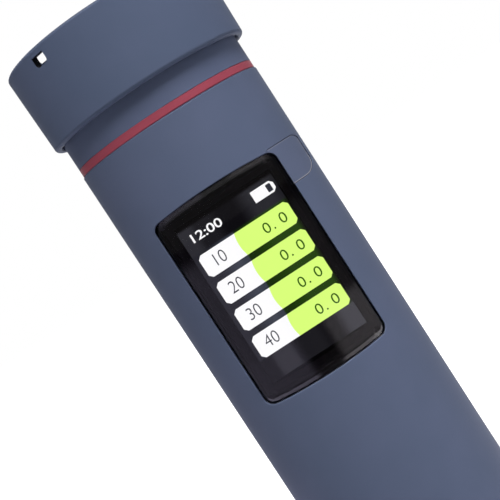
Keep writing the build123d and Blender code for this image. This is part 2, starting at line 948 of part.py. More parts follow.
def make_tail_cap():
    """The flat tail, with a spigot, two screw posts and the slot of the charging socket."""
    seal_height = tail_height + seal_rise
    seal_floor = body_bore - seal_fit - 2 * seal_section - groove_clearance
    seal_half = seal_section + groove_clearance
    tail = turned(
        [
            (0, 0),
            (body_radius, 0),
            (body_radius, tail_height),
            (spigot_radius, tail_height),
            (spigot_radius, seal_height - seal_half),
            (seal_floor, seal_height - seal_half),
            (seal_floor, seal_height + seal_half),
            (spigot_radius, seal_height + seal_half),
            (spigot_radius, tail_top),
            (spigot_bore, tail_top),
            (spigot_bore, tail_floor),
            (0, tail_floor),
        ]
    )
    tail = fillet(rims(tail, body_radius, 0), tail_round)
    sunk = tail_screw_sink + tail_screw_head_height
    for x, y in tail_screw_places():
        tail += peg(x, y, post_radius, tail_floor, post_top)
        tail -= peg(x, y, tail_screw_radius + slip, 0, post_top)
        tail -= peg(x, y, tail_screw_head + slip, 0, sunk)
    slot = SlotOverall(usb_width + 2 * usb_clearance, usb_height + 2 * usb_clearance)
    return tail - extrude(Plane(origin=(0, usb_middle, 0)) * slot, amount=tail_floor)


def make_tail_seal():
    """The soft ring that seals the tail cap in the barrel."""
    ring_radius = body_bore - seal_fit - seal_section
    return Pos(0, 0, tail_height + seal_rise) * Torus(ring_radius, seal_section)


def make_tail_screws():
    """The two screws that run from the tail into the chassis."""
    head_top = tail_screw_sink + tail_screw_head_height
    screws = Part()
    for x, y in tail_screw_places():
        screws += peg(x, y, tail_screw_head, tail_screw_sink, head_top)
        screws += peg(x, y, tail_screw_radius, head_top, tail_top + tail_screw_grip)
    return screws


makers = {
    "cap_shell": make_cap_shell,
    "calibration_tile": make_calibration_tile,
    "tile_cushion": make_tile_cushion,
    "tile_retainer": make_tile_retainer,
    "body_shell": make_body_shell,
    "tail_cap": make_tail_cap,
    "tail_seal": make_tail_seal,
    "tail_screws": make_tail_screws,
    "accent_ring": make_accent_ring,
    "head_shell": make_head_shell,
    "cap_grip_ring": make_cap_grip_ring,
    "aperture_ring": make_aperture_ring,
    "protective_glass": make_protective_glass,
    "optics_block": make_optics_block,
    "collector_lens": make_collector_lens,
    "led_board": make_led_board,
    "leds": make_leds,
    "light_baffle": make_light_baffle,
    "optics_screws": make_optics_screws,
    "sensor_board": make_sensor_board,
    "sensor_chip": make_sensor_chip,
    "sensor_flex": make_sensor_flex,
    "chassis": make_chassis,
    "main_board": make_main_board,
    "main_chip": make_main_chip,
    "radio_module": make_radio_module,
    "board_screws": make_board_screws,
    "display_window": make_display_window,
    "window_gasket": make_window_gasket,
    "display_panel": make_display_panel,
    "display_frame": make_display_frame,
    "display_flex": make_display_flex,
    "flex_connector": make_flex_connector,
    "battery": make_battery,
    "battery_pad": make_battery_pad,
    "battery_leads": make_battery_leads,
    "battery_connector": make_battery_connector,
    "usb_connector": make_usb_connector,
    "measure_key": make_measure_key,
    "key_switch": make_key_switch,
    "switch_plunger": make_switch_plunger,
}

os.makedirs("parts", exist_ok=True)
for node, maker in makers.items():
    export_step(maker(), f"parts/{node}.step")
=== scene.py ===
# %% [markdown]
# # A slim handheld meter for colour and density
# The instrument is a round barrel that stands on its tail, with a push-on cap over its measuring head. Its
# pieces come from an engineering model at their real size, so this lesson moves none of them. It gives each
# one the finish of the real thing, and adds what is too thin or too fine for such a model: the print behind
# the window, the lit picture on the display, the screws' drives and the socket's contacts.

# %% Load the engineering model and open the toolbox
from math import cos, pi, radians, sin

import bpy
from mathutils import Matrix, Vector


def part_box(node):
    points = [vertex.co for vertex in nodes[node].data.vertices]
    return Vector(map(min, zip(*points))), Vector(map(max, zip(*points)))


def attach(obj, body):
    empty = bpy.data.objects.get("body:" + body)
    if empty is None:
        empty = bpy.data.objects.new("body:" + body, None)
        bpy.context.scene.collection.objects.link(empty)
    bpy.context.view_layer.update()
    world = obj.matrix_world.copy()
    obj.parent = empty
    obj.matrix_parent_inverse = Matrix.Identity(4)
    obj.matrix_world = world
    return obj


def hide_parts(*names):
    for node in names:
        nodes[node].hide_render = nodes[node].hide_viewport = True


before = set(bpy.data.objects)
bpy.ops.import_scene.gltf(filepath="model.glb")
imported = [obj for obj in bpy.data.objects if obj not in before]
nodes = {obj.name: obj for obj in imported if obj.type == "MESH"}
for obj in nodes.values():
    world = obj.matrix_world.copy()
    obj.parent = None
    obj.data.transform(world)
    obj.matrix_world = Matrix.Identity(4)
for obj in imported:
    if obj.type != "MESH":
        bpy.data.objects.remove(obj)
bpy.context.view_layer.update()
MM = 0.001
print("pieces in the model:", len(nodes))

# %% [markdown]
# ## The camera
# The photograph was taken from close by, level with the display, and the picture was turned so that the cap
# points to the upper left. The same is done here: the meter stands upright and the camera is rolled. A long
# lens would flatten the cap's ellipse, so the distance comes first and the lens follows from it.

# %% Set up the camera
PHOTO_WIDTH = 500
FOCAL_PIXELS = 1076.46
CAMERA_PLACE = Vector((0.63, -159.16, 77.92)) * MM
CAMERA_PITCH = radians(-3.37)
CAMERA_YAW = radians(-0.33)
CAMERA_ROLL = radians(33.07)
SENSOR_WIDTH = 36.0
NEAREST_SEEN = 5 * MM


def camera_turn(pitch, yaw, roll):
    """The camera's rotation: it looks along +Y, tipped, swung and rolled by the three angles."""
    forward = Vector((sin(yaw) * cos(pitch), cos(yaw) * cos(pitch), sin(pitch)))
    level = Vector((cos(yaw), -sin(yaw), 0))
    down = forward.cross(level)
    right = cos(roll) * level + sin(roll) * down
    up = sin(roll) * level - cos(roll) * down
    return Matrix((right, up, -forward)).transposed().to_4x4()


camera_data = bpy.data.cameras.new("camera")
camera_data.sensor_width = SENSOR_WIDTH
camera_data.lens = SENSOR_WIDTH * FOCAL_PIXELS / PHOTO_WIDTH
camera_data.clip_start = NEAREST_SEEN
camera = bpy.data.objects.new("camera", camera_data)
turn = camera_turn(CAMERA_PITCH, CAMERA_YAW, CAMERA_ROLL)
camera.matrix_world = Matrix.Translation(CAMERA_PLACE) @ turn
bpy.context.scene.collection.objects.link(camera)
bpy.context.scene.camera = camera
bpy.context.scene.view_settings.view_transform = "Standard"
print("lens:", round(camera_data.lens, 1), "mm")

# %% [markdown]
# ## Colours and nodes
# Colours are chosen on screen as hex values, which hold them as the eye sees them. A shader adds up light,
# so it needs them in linear light, and one function does that. A second one adds a node with its settings
# and links. Many nodes have more sockets than their settings use, so it looks only at those in use.

# %% Helpers for colours and nodes
PLAIN_WHITE = (1, 1, 1, 1)
SMOOTH = {"interpolation_type": "SMOOTHSTEP"}


def linear(hex_colour):
    """An sRGB hex colour as linear light, with full cover."""
    channels = [int(hex_colour[i : i + 2], 16) / 255 for i in (1, 3, 5)]
    light = [c / 12.92 if c <= 0.04045 else ((c + 0.055) / 1.055) ** 2.4 for c in channels]
    return (*light, 1.0)


def per_metre(size_mm):
    """How many of a pattern's features of this size go into a metre."""
    return 1 / (size_mm * MM)


def in_use(sockets, name):
    """The socket of this name or number, among those that the node's settings leave in use."""
    sockets = [socket for socket in sockets if socket.enabled]
    if isinstance(name, int):
        return sockets[name]
    return next(socket for socket in sockets if socket.name == name)


def add_node(tree, kind, inputs=None, **settings):
    """Adds a node with its settings. An input is a value, a socket, or a node, whose first output is used."""
    node = tree.nodes.new(kind)
    for name, value in settings.items():
        setattr(node, name, value)
    for name, value in (inputs or {}).items():
        socket = in_use(node.inputs, name)
        if isinstance(value, bpy.types.Node):
            value = in_use(value.outputs, 0)
        if isinstance(value, bpy.types.NodeSocket):
            tree.links.new(value, socket)
        else:
            socket.default_value = value
    return node


def span(value, start, end, first=0.0, last=1.0):
    """The inputs of a Map Range node: it goes from first to last as the value goes from start to end."""
    return {"Value": value, "From Min": start, "From Max": end, "To Min": first, "To Max": last}


def new_material(name):
    """An empty material and its tree, with the pattern space that sits still on the piece."""
    material = bpy.data.materials.new(name)
    material.use_nodes = True
    tree = material.node_tree
    tree.nodes.clear()
    place = add_node(tree, "ShaderNodeTexCoord").outputs["Object"]
    return material, tree, place


print("half grey on screen is", round(linear("#808080")[0], 3), "in linear light")

# %% [markdown]
# ## The room's light
# White paper in a real studio needs a lot of light, which would bleach the meter too. Here the whiteness is
# seen only by the camera and through glass, so the light on the meter itself stays at a plain level. What a
# glossy window mirrors matters as much as what lights it, so mirrored rays get a room of their own: dark at
# eye level, brighter overhead and behind the meter. The Light Path node tells the three kinds of ray apart.

# %% Paint the world
SKY_AT_HORIZON = 0.12
SKY_OVERHEAD = 0.2
MIRRORED_DARK = 0.05
MIRRORED_CEILING_STARTS = 0.45
BEHIND = 180
BEHIND_EDGES = (0.7, 0.95)


def towards(tree, vector, azimuth):
    """How far a way from the meter points to an azimuth, in degrees from the front: 1 is straight there."""
    turn = radians(azimuth)
    aim = (sin(turn), -cos(turn), 0)
    way = add_node(tree, "ShaderNodeVectorMath", {0: vector}, operation="NORMALIZE")
    return add_node(tree, "ShaderNodeVectorMath", {0: way, 1: aim}, operation="DOT_PRODUCT")


def kinds_of_ray(tree):
    """1 for rays that show the room itself, from the camera and through glass, and 1 for mirrored rays."""
    kinds = add_node(tree, "ShaderNodeLightPath").outputs
    inputs = {0: kinds["Is Camera Ray"], 1: kinds["Is Transmission Ray"]}
    shown = add_node(tree, "ShaderNodeMath", inputs, operation="MAXIMUM")
    return shown, kinds["Is Glossy Ray"]


def make_world():
    """White where it is seen, a darker room where it is mirrored, and a soft grey sky where it lights."""
    world = bpy.data.worlds.new("white_studio")
    bpy.context.scene.world = world
    world.use_nodes = True
    tree = world.node_tree
    tree.nodes.clear()
    way = add_node(tree, "ShaderNodeTexCoord").outputs["Object"]
    rise = add_node(tree, "ShaderNodeSeparateXYZ", {"Vector": way}).outputs["Z"]
    shown, mirrored = kinds_of_ray(tree)
    sky = add_node(tree, "ShaderNodeMapRange", span(rise, 0.0, 1.0, SKY_AT_HORIZON, SKY_OVERHEAD), **SMOOTH)
    overhead = span(rise, MIRRORED_CEILING_STARTS, 1.0, MIRRORED_DARK, 1.0)
    ceiling = add_node(tree, "ShaderNodeMapRange", overhead, **SMOOTH)
    behind = add_node(tree, "ShaderNodeMapRange", span(towards(tree, way, BEHIND), *BEHIND_EDGES), **SMOOTH)
    mirror_room = add_node(tree, "ShaderNodeMix", {"Factor": behind, "A": ceiling, "B": 1.0})
    plain_room = add_node(tree, "ShaderNodeMix", {"Factor": shown, "A": sky, "B": 1.0})
    strength = add_node(tree, "ShaderNodeMix", {"Factor": mirrored, "A": plain_room, "B": mirror_room})
    background = add_node(tree, "ShaderNodeBackground", {"Color": PLAIN_WHITE, "Strength": strength})
    add_node(tree, "ShaderNodeOutputWorld", {"Surface": background})
    return world


world = make_world()
print("world nodes:", len(world.node_tree.nodes))

# %% [markdown]
# ## The floor
# A pale floor carries the meter and its shadow. Far out it glows by itself for the camera, which fades it
# into the white behind. Near the meter's foot it glows less, so that the shadow there stays to be seen. In
# mirrors it is a pale sheet in front of the meter, with the camera's stand as a dark strip across it.

# %% Lay the floor
FLOOR_SIZE = 6.0
FLOOR_COLOUR = "#a0a0a1"
FLOOR_LIFT = (0.5, 1.0)
FLOOR_LIFT_REACH = (0.06, 0.1)
SHEET_LEFT = {"edge": (0.36, 0.41), "light": (0.33, 0.27), "tint": "#e7dfff"}
SHEET_RIGHT = {"edge": (0.40, 0.44), "light": (0.38, 0.06), "tint": "#fff8ff"}
SHEET_SEAM = 0.02
SHEET_FAR = (1.2, 2.2)
STAND_AZIMUTH = 4
STAND_EDGES = (0.914, 0.978)
FOOT_REACH = (0.06, 0.25)
FOOT_LIGHT = 4.5


def mirrored_floor(tree, place, distance):
    """The light and tint of the floor's mirror image: a pale sheet, a dark strip and a dim room beyond."""
    across = add_node(tree, "ShaderNodeSeparateXYZ", {"Vector": place}).outputs["X"]
    right = add_node(tree, "ShaderNodeMapRange", span(across, -SHEET_SEAM, SHEET_SEAM), **SMOOTH)
    left_light, right_light = (
        add_node(tree, "ShaderNodeMapRange", span(distance, *side["edge"], *side["light"]), **SMOOTH)
        for side in (SHEET_LEFT, SHEET_RIGHT)
    )
    light = add_node(tree, "ShaderNodeMix", {"Factor": right, "A": left_light, "B": right_light})
    fades = (
        span(distance, *SHEET_FAR, 1.0, MIRRORED_DARK),
        span(distance, *FOOT_REACH, FOOT_LIGHT, 1.0),
        span(towards(tree, place, STAND_AZIMUTH), *STAND_EDGES, 1.0, MIRRORED_DARK),
    )
    for fade in fades:
        share = add_node(tree, "ShaderNodeMapRange", fade, **SMOOTH)
        light = add_node(tree, "ShaderNodeMath", {0: light, 1: share}, operation="MULTIPLY")
    tints = {"Factor": right, "A": linear(SHEET_LEFT["tint"]), "B": linear(SHEET_RIGHT["tint"])}
    return light, add_node(tree, "ShaderNodeMix", tints, data_type="RGBA")


def floor_paint():
    """Matt paint that glows where only the camera sees it, and swaps to the mirrored sheet in reflections."""
    material, tree, place = new_material("matt_floor_paint")
    spread = add_node(tree, "ShaderNodeBsdfDiffuse", {"Color": linear(FLOOR_COLOUR)})
    shown, mirrored = kinds_of_ray(tree)
    distance = add_node(tree, "ShaderNodeVectorMath", {0: place}, operation="LENGTH")
    near_to_far = span(distance, *FLOOR_LIFT_REACH, *FLOOR_LIFT)
    full_lift = add_node(tree, "ShaderNodeMapRange", near_to_far, **SMOOTH)
    seen = add_node(tree, "ShaderNodeMix", {"Factor": mirrored, "A": shown, "B": 1.0})
    lift = add_node(tree, "ShaderNodeMix", {"Factor": seen, "A": 0.0, "B": full_lift})
    glow = add_node(tree, "ShaderNodeEmission", {"Color": PLAIN_WHITE, "Strength": lift})
    both = add_node(tree, "ShaderNodeAddShader", {0: spread, 1: glow})
    light, tint = mirrored_floor(tree, place, distance)
    image = add_node(tree, "ShaderNodeEmission", {"Color": tint, "Strength": light})
    behind = add_node(tree, "ShaderNodeMapRange", span(towards(tree, place, BEHIND), *BEHIND_EDGES), **SMOOTH)
    swapped = add_node(tree, "ShaderNodeMix", {"Factor": behind, "A": mirrored, "B": 0.0})
    surface = add_node(tree, "ShaderNodeMixShader", {0: swapped, 1: both, 2: image})
    add_node(tree, "ShaderNodeOutputMaterial", {"Surface": surface})
    return material


bpy.ops.object.select_all(action="DESELECT")
bpy.ops.mesh.primitive_plane_add(size=FLOOR_SIZE, location=(0, 0, 0))
floor = bpy.context.object
floor.name = "floor"
floor.data.materials.append(floor_paint())
print("floor:", FLOOR_SIZE, "m wide")

# %% [markdown]
# ## The lamps
# A large softbox stands high in front and a weak one behind, as in a product photograph. Two weak fills
# lighten the sides. The window would mirror the fills as grey lines in its bevelled edge, so mirrors don't
# show them.

# %% Hang the lamps
LAMP_DISTANCE = 0.8
LAMP_SIZE = 0.5
LAMP_TARGET = Vector((0, 0, 70 * MM))
LAMPS = {
    "softbox_front": {"azimuth": 20, "elevation": 66, "watts": 11.6, "mirrored": True},
    "softbox_back": {"azimuth": 180, "elevation": 40, "watts": 2.6, "mirrored": True},
    "fill_left": {"azimuth": -105, "elevation": 10, "watts": 0.6, "mirrored": False},
    "fill_right": {"azimuth": 85, "elevation": 18, "watts": 0.9, "mirrored": False},
}


def add_lamp(name, azimuth, elevation, watts, mirrored):
    """A square lamp that faces the middle of the barrel, from so many degrees to the right and up."""
    lamp_data = bpy.data.lights.new(name, "AREA")
    lamp_data.size = LAMP_SIZE
    lamp_data.energy = watts
    lamp = bpy.data.objects.new(name, lamp_data)
    lamp.visible_glossy = mirrored
    across = LAMP_DISTANCE * cos(radians(elevation))
    turn = radians(azimuth)
    offset = Vector((across * sin(turn), -across * cos(turn), LAMP_DISTANCE * sin(radians(elevation))))
    place = Matrix.Translation(LAMP_TARGET + offset)
    lamp.matrix_world = place @ (-offset).to_track_quat("-Z", "Y").to_matrix().to_4x4()
    bpy.context.scene.collection.objects.link(lamp)


for name, lamp in LAMPS.items():
    add_lamp(name, **lamp)
print("lamps:", ", ".join(LAMPS))

# %% [markdown]
# ## One recipe for a finish
# Nearly every surface here is made the same way. A pattern at its real size, such as a moulding's grain,
# moves the surface between two near colours and two near roughnesses, and raises a relief of a few
# thousandths of a millimetre. One function holds that recipe, so a finish is one line that says what is
# special about it.

# %% Write the recipe
PATTERN_RANGE = (0.3, 0.7)
WAVE_RADIANS_PER_UNIT = 20.0


def lumps(size_mm, detail=3.0):
    """A pattern of cloudy lumps of about this size, with finer ones in them."""
    return "ShaderNodeTexNoise", {"Scale": per_metre(size_mm), "Detail": detail}, {}


def ridges(spacing_mm, **settings):
    """A pattern of even ridges at this spacing."""
    scale = 2 * pi / (WAVE_RADIANS_PER_UNIT * spacing_mm * MM)
    return "ShaderNodeTexWave", {"Scale": scale, "Distortion": 0.0}, settings


def lay_pattern(tree, place, pattern):
    """Adds a pattern's node and gives the socket that it comes out of."""
    kind, inputs, settings = pattern
    return add_node(tree, kind, {"Vector": place, **inputs}, **settings).outputs["Fac"]


def tinted(tree, texture, low, high):
    """A colour that follows a pattern from one hex colour to another."""
    share = add_node(tree, "ShaderNodeMapRange", span(texture, *PATTERN_RANGE))
    inputs = {"Factor": share, "A": linear(low), "B": linear(high)}
    return add_node(tree, "ShaderNodeMix", inputs, data_type="RGBA")


def make_finish(name, pattern, colours, roughness, relief_mm=0.0, shader=None, clouds=None, marks_and_painted_light=None):
    """A finish. A pair of colours or roughnesses follows the pattern, and a single one is the same all over.

    Shader holds the other values of the surface. Clouds is a second pattern, for the colours alone, and the
    last argument is a function that paints over the colours of one piece: its own two tones on one piece,
    painted shade and painted highlights on others.
    """
    material, tree, place = new_material(name)
    texture = lay_pattern(tree, place, pattern)
    inputs = {"Roughness": roughness, **(shader or {})}
    if isinstance(roughness, tuple):
        inputs["Roughness"] = add_node(tree, "ShaderNodeMapRange", span(texture, *PATTERN_RANGE, *roughness))
    if isinstance(colours, tuple):
        colour_texture = lay_pattern(tree, place, clouds) if clouds else texture
        inputs["Base Color"] = tinted(tree, colour_texture, *colours)
    else:
        inputs["Base Color"] = linear(colours)
    if marks_and_painted_light:
        inputs["Base Color"] = marks_and_painted_light(tree, place, inputs["Base Color"])
    if relief_mm:
        inputs["Normal"] = add_node(tree, "ShaderNodeBump", {"Height": texture, "Distance": relief_mm * MM})
    surface = add_node(tree, "ShaderNodeBsdfPrincipled", inputs)
    add_node(tree, "ShaderNodeOutputMaterial", {"Surface": surface})
    return material


print("patterns are used from", *PATTERN_RANGE, "of their height")

# %% [markdown]
# ## Soft-touch plastic
# The cap, neck, barrel, tail and key are moulded in ABS and sprayed with a soft-touch lacquer. To the eye
# that is a dull, slightly velvety blue-grey with no clear highlight, and a grain of about a quarter of a
# millimetre where the lacquer dried. A little sheen gives the pale rim that such lacquer has towards the
# silhouette. The neck's copy of the lacquer is a trace paler than the barrel's, and the cap's a trace darker.

# %% Mix the soft-touch lacquer
LACQUER_GRAIN_MM = 0.25
LACQUER_RELIEF_MM = 0.003
LACQUER_CLOUD_MM = 9.0
LACQUER_DULLNESS = 0.62
LACQUER_SPREAD = 0.04
RED_DULLNESS = 0.5
LACQUER_SHADER = {"Specular IOR Level": 0.15, "Sheen Weight": 0.02, "Sheen Roughness": 0.5}


def lacquer(name, low, high, dullness=LACQUER_DULLNESS, marks_and_painted_light=None):
    """Sprayed soft-touch lacquer: cloudy by a shade, fine-grained and dull, with the painted shade and
    highlights of its own piece.
    """
    roughness = (dullness - LACQUER_SPREAD, dullness + LACQUER_SPREAD)
    grain = lumps(LACQUER_GRAIN_MM)
    clouds = lumps(LACQUER_CLOUD_MM, detail=2.0)
    return make_finish(name, grain, (low, high), roughness, LACQUER_RELIEF_MM, LACQUER_SHADER, clouds, marks_and_painted_light)


plain_lacquer = lacquer("soft_touch_blue_grey", "#535d75", "#576079")
neck_lacquer = lacquer("soft_touch_blue_grey_neck", "#58617b", "#5c657f")
red_lacquer = lacquer("satin_red_abs", "#9a4353", "#a04858", RED_DULLNESS)
print("lacquers:", plain_lacquer.name, neck_lacquer.name, red_lacquer.name)

# %% [markdown]
# Three pieces carry marks of their own, which are found by their place on the piece. On the barrel and the
# cap they are painted shade. The walls of the barrel's window recess and of the cap's cord hole are painted
# dark. The upper edges of barrel and cap are painted a shade darker, so they stay darker there instead of
# drawing a light line under the lamp.

# %% Mix the lacquers of the barrel and the cap
# painted shade: the darker colours of the upper edges, and of the walls of the window recess and the cord
# hole
BARREL_EDGE_PAINTED_SHADE = "#434a5f"
CAP_EDGE_PAINTED_SHADE = "#2f3646"
EDGE_SOFT = 0.35 * MM
RECESS_WALL_PAINTED_SHADE = "#242a3b"
RECESS_WALL_TOP = (14.9 * MM, 14.94 * MM)
HOLE_WALL_PAINTED_SHADE = "#0c0b10"
HOLE_WALL_MIDDLE = 15.835 * MM
HOLE_WALL_HALF = 0.515 * MM
HOLE_MIDDLE = 106.1 * MM
HOLE_HALF = 0.85 * MM
HOLE_SOFT = 0.02 * MM


def height_on_piece(tree, place):
    """The height above the table."""
    return add_node(tree, "ShaderNodeSeparateXYZ", {"Vector": place}).outputs["Z"]


def axis_distance(tree, place):
    """The distance from the barrel's axis."""
    flat = add_node(tree, "ShaderNodeVectorMath", {0: place, 1: (1, 1, 0)}, operation="MULTIPLY")
    return add_node(tree, "ShaderNodeVectorMath", {0: flat}, operation="LENGTH")


def around(tree, value, middle, half, soft, height=1.0):
    """As high as asked where a value is within half of the middle, and fading to 0 over the soft length."""
    offset = add_node(tree, "ShaderNodeMath", {0: value, 1: middle}, operation="SUBTRACT")
    distance = add_node(tree, "ShaderNodeMath", {0: offset}, operation="ABSOLUTE")
    return add_node(tree, "ShaderNodeMapRange", span(distance, half, half + soft, height, 0.0), **SMOOTH)


def paint_over(tree, mask, colour, hex_colour):
    """A colour with another one painted over it where the mask is 1."""
    inputs = {"Factor": mask, "A": colour, "B": linear(hex_colour)}
    return add_node(tree, "ShaderNodeMix", inputs, data_type="RGBA")


def barrel_painted_shade(tree, place, colour):
    """Painted shade on the walls of the window recess and on the barrel's upper edge."""
    past_walls = span(axis_distance(tree, place), *RECESS_WALL_TOP, 1.0, 0.0)
    recess_shade = add_node(tree, "ShaderNodeMapRange", past_walls, **SMOOTH)
    colour = paint_over(tree, recess_shade, colour, RECESS_WALL_PAINTED_SHADE)
    upper_edge_shade = around(tree, height_on_piece(tree, place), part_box("body_shell")[1].z, 0.0, EDGE_SOFT)
    return paint_over(tree, upper_edge_shade, colour, BARREL_EDGE_PAINTED_SHADE)


def cap_painted_shade(tree, place, colour):
    """Painted shade on the cap's upper edge and on the walls of its cord hole, the only surface inside the
    rim's thickness.
    """
    rise = height_on_piece(tree, place)
    upper_edge_shade = around(tree, rise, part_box("cap_shell")[1].z, 0.0, EDGE_SOFT)
    colour = paint_over(tree, upper_edge_shade, colour, CAP_EDGE_PAINTED_SHADE)
    in_wall = around(tree, axis_distance(tree, place), HOLE_WALL_MIDDLE, HOLE_WALL_HALF, HOLE_SOFT)
    at_hole = around(tree, rise, HOLE_MIDDLE, HOLE_HALF, HOLE_SOFT)
    hole_shade = add_node(tree, "ShaderNodeMath", {0: in_wall, 1: at_hole}, operation="MULTIPLY")
    return paint_over(tree, hole_shade, colour, HOLE_WALL_PAINTED_SHADE)


# the barrel and the cap get their painted shade here
barrel_lacquer = lacquer("soft_touch_blue_grey_barrel", "#535d75", "#576079", marks_and_painted_light=barrel_painted_shade)
cap_lacquer = lacquer("soft_touch_blue_grey_cap", "#505b73", "#545e77", marks_and_painted_light=cap_painted_shade)
print("lacquers:", barrel_lacquer.name, cap_lacquer.name)

# %% [markdown]
# The key's lacquer is a trace paler than the barrel's, which paints light onto its face. Along its rim a pale
# line of painted highlight stands in for the edges catching the light, most of all at the lower right. The
# pale line follows the key's outline: straight sides that meet in a rounded corner. The key's solid also has
# a hidden flange above and below, which is taken off its box first.

# %% Mix the key's lacquer
KEY_LOW, KEY_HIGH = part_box("measure_key")
KEY_FLANGE = 0.7 * MM
KEY_BOTTOM = KEY_LOW.z + KEY_FLANGE
KEY_TOP = KEY_HIGH.z - KEY_FLANGE
KEY_CORNER = 1.9 * MM
RIM_PAINTED_HIGHLIGHT = "#8f8f9a"
RIM_REACH = 0.16 * MM
RIM_FADE = 0.9 * MM
RIM_ELSEWHERE = 0.3


def painted_highlight_rim(tree, place, colour):
    """A painted highlight: a pale line just inside the key's rounded outline, which fades out towards its
    top.
    """
    corner = (KEY_HIGH.x - KEY_CORNER, 0, KEY_BOTTOM + KEY_CORNER)
    from_corner = add_node(tree, "ShaderNodeVectorMath", {0: place, 1: corner}, operation="SUBTRACT")
    turned = add_node(tree, "ShaderNodeVectorMath", {0: from_corner, 1: (1, 0, -1)}, operation="MULTIPLY")
    outward = add_node(tree, "ShaderNodeVectorMath", {0: turned, 1: (0, 0, 0)}, operation="MAXIMUM")
    reach = add_node(tree, "ShaderNodeVectorMath", {0: outward}, operation="LENGTH")
    rise = height_on_piece(tree, place)
    side_edge = span(reach, KEY_CORNER - RIM_REACH, KEY_CORNER - RIM_REACH / 2)
    side = add_node(tree, "ShaderNodeMapRange", side_edge, **SMOOTH)
    above_corner = span(rise, corner[2], corner[2] + RIM_FADE, 1.0, RIM_ELSEWHERE)
    strength = add_node(tree, "ShaderNodeMapRange", above_corner, **SMOOTH)
    side = add_node(tree, "ShaderNodeMath", {0: side, 1: strength}, operation="MULTIPLY")
    top_edge = span(rise, KEY_TOP - RIM_REACH, KEY_TOP - RIM_REACH / 2, 0.0, RIM_ELSEWHERE)
    top = add_node(tree, "ShaderNodeMapRange", top_edge, **SMOOTH)
    rim = add_node(tree, "ShaderNodeMath", {0: side, 1: top}, operation="MAXIMUM")
    return paint_over(tree, rim, colour, RIM_PAINTED_HIGHLIGHT)


# the key's two colours are a trace paler than the barrel's, painted light on its face, and its rim gets a
# painted highlight
key_lacquer = lacquer("soft_touch_blue_grey_key", "#565f77", "#5a627b", marks_and_painted_light=painted_highlight_rim)
print("key's rim, height from", round(KEY_BOTTOM / MM, 2), "to", round(KEY_TOP / MM, 2), "mm")

# %% [markdown]
# ## The window and the print behind it
# The window is a curved piece of clear acrylic, polished on both faces. It looks black because its back is
# printed black all round the display. Acrylic bends light by 1.49 and mirrors a twenty-fifth of what it
# faces: the dark room at eye level in its middle, and the pale floor in the lower part of its bevelled
# edge.

# %% Make the window's acrylic and print
ACRYLIC = {"IOR": 1.49, "Transmission Weight": 1.0}
PRINT_INK = {"Specular IOR Level": 0.1}
PRINT_COLOURS = ("#0a060b", "#0d080e")
HANDLING_MARKS = lumps(3.0, detail=4.0)
MESH_MARKS = lumps(0.2, detail=1.0)

window_acrylic = make_finish("polished_acrylic", HANDLING_MARKS, "#f4f3f5", (0.015, 0.025), shader=ACRYLIC)
black_print = make_finish("black_screen_print", MESH_MARKS, PRINT_COLOURS, 0.6, 0.001, PRINT_INK)
print("window:", window_acrylic.name, "and", black_print.name)

# %% [markdown]
# ## The display's light
# A small colour display is a backlight behind switched dots. A lit field is an even glow with the fine grid
# of its dots, which a brick pattern with no offset draws. Emission makes the light. The dark digits are
# fields too, in the colour that the backlight still has where the dots are shut.

# %% Make the display's lit fields and dark ink
DOT_PITCH_MM = 0.19
DOT_GAP_SHARE = 0.06
FACING_FRONT = (pi / 2, 0, 0)
WHITE_STRENGTH = 1.2
GREEN_STRENGTH = 1.3


def facing_front(tree, place):
    """The pattern space turned to the front, because a brick pattern lies flat on the floor."""
    return add_node(tree, "ShaderNodeMapping", {"Vector": place, "Rotation": FACING_FRONT})


def lit_field(name, colour, gap_colour, strength=1.0):
    """A lit field: even, with the very fine grid of its dots."""
    material, tree, place = new_material(name)
    dots = {
        "Vector": facing_front(tree, place),
        "Color1": linear(colour),
        "Color2": linear(colour),
        "Mortar": linear(gap_colour),
        "Scale": 1.0,
        "Mortar Size": DOT_PITCH_MM * DOT_GAP_SHARE * MM,
        "Brick Width": DOT_PITCH_MM * MM,
        "Row Height": DOT_PITCH_MM * MM,
    }
    grid = add_node(tree, "ShaderNodeTexBrick", dots, offset=0.0)
    glow = add_node(tree, "ShaderNodeEmission", {"Color": grid, "Strength": strength})
    add_node(tree, "ShaderNodeOutputMaterial", {"Surface": glow})
    return material


white_field = lit_field("lit_white_field", "#ffffff", "#f4f5f7", WHITE_STRENGTH)
green_field = lit_field("lit_green_field", "#d4fb79", "#caf06e", GREEN_STRENGTH)
dark_ink = lit_field("unlit_digit_ink", "#37660a", "#305c08")
grey_ink = lit_field("unlit_label_ink", "#34353f", "#2e2f39")
print("dots to a millimetre:", round(1 / DOT_PITCH_MM, 1))

# %% [markdown]
# ## Plastics, rubbers and ceramics
# The other pieces show when the cap is off, at the tail and on the bench. Each starts from what it is made
# of. A moulded plastic reflects a little white light over its own colour, rubber and foam reflect less, and
# the glaze on the tile is nearly a mirror. All go by the one recipe, with a grain from the tool or the oven
# they came from.

# %% Make plastics, rubbers and ceramics
ROUGHNESS_SPREAD = 0.05


def moulded(name, low, high, roughness, grain_mm, relief_mm, gloss=0.5):
    """A moulded or cast surface: two near colours, a grain and a relief."""
    roughness = (roughness - ROUGHNESS_SPREAD, roughness + ROUGHNESS_SPREAD)
    shader = {"Specular IOR Level": gloss}
    return make_finish(name, lumps(grain_mm), (low, high), roughness, relief_mm, shader)


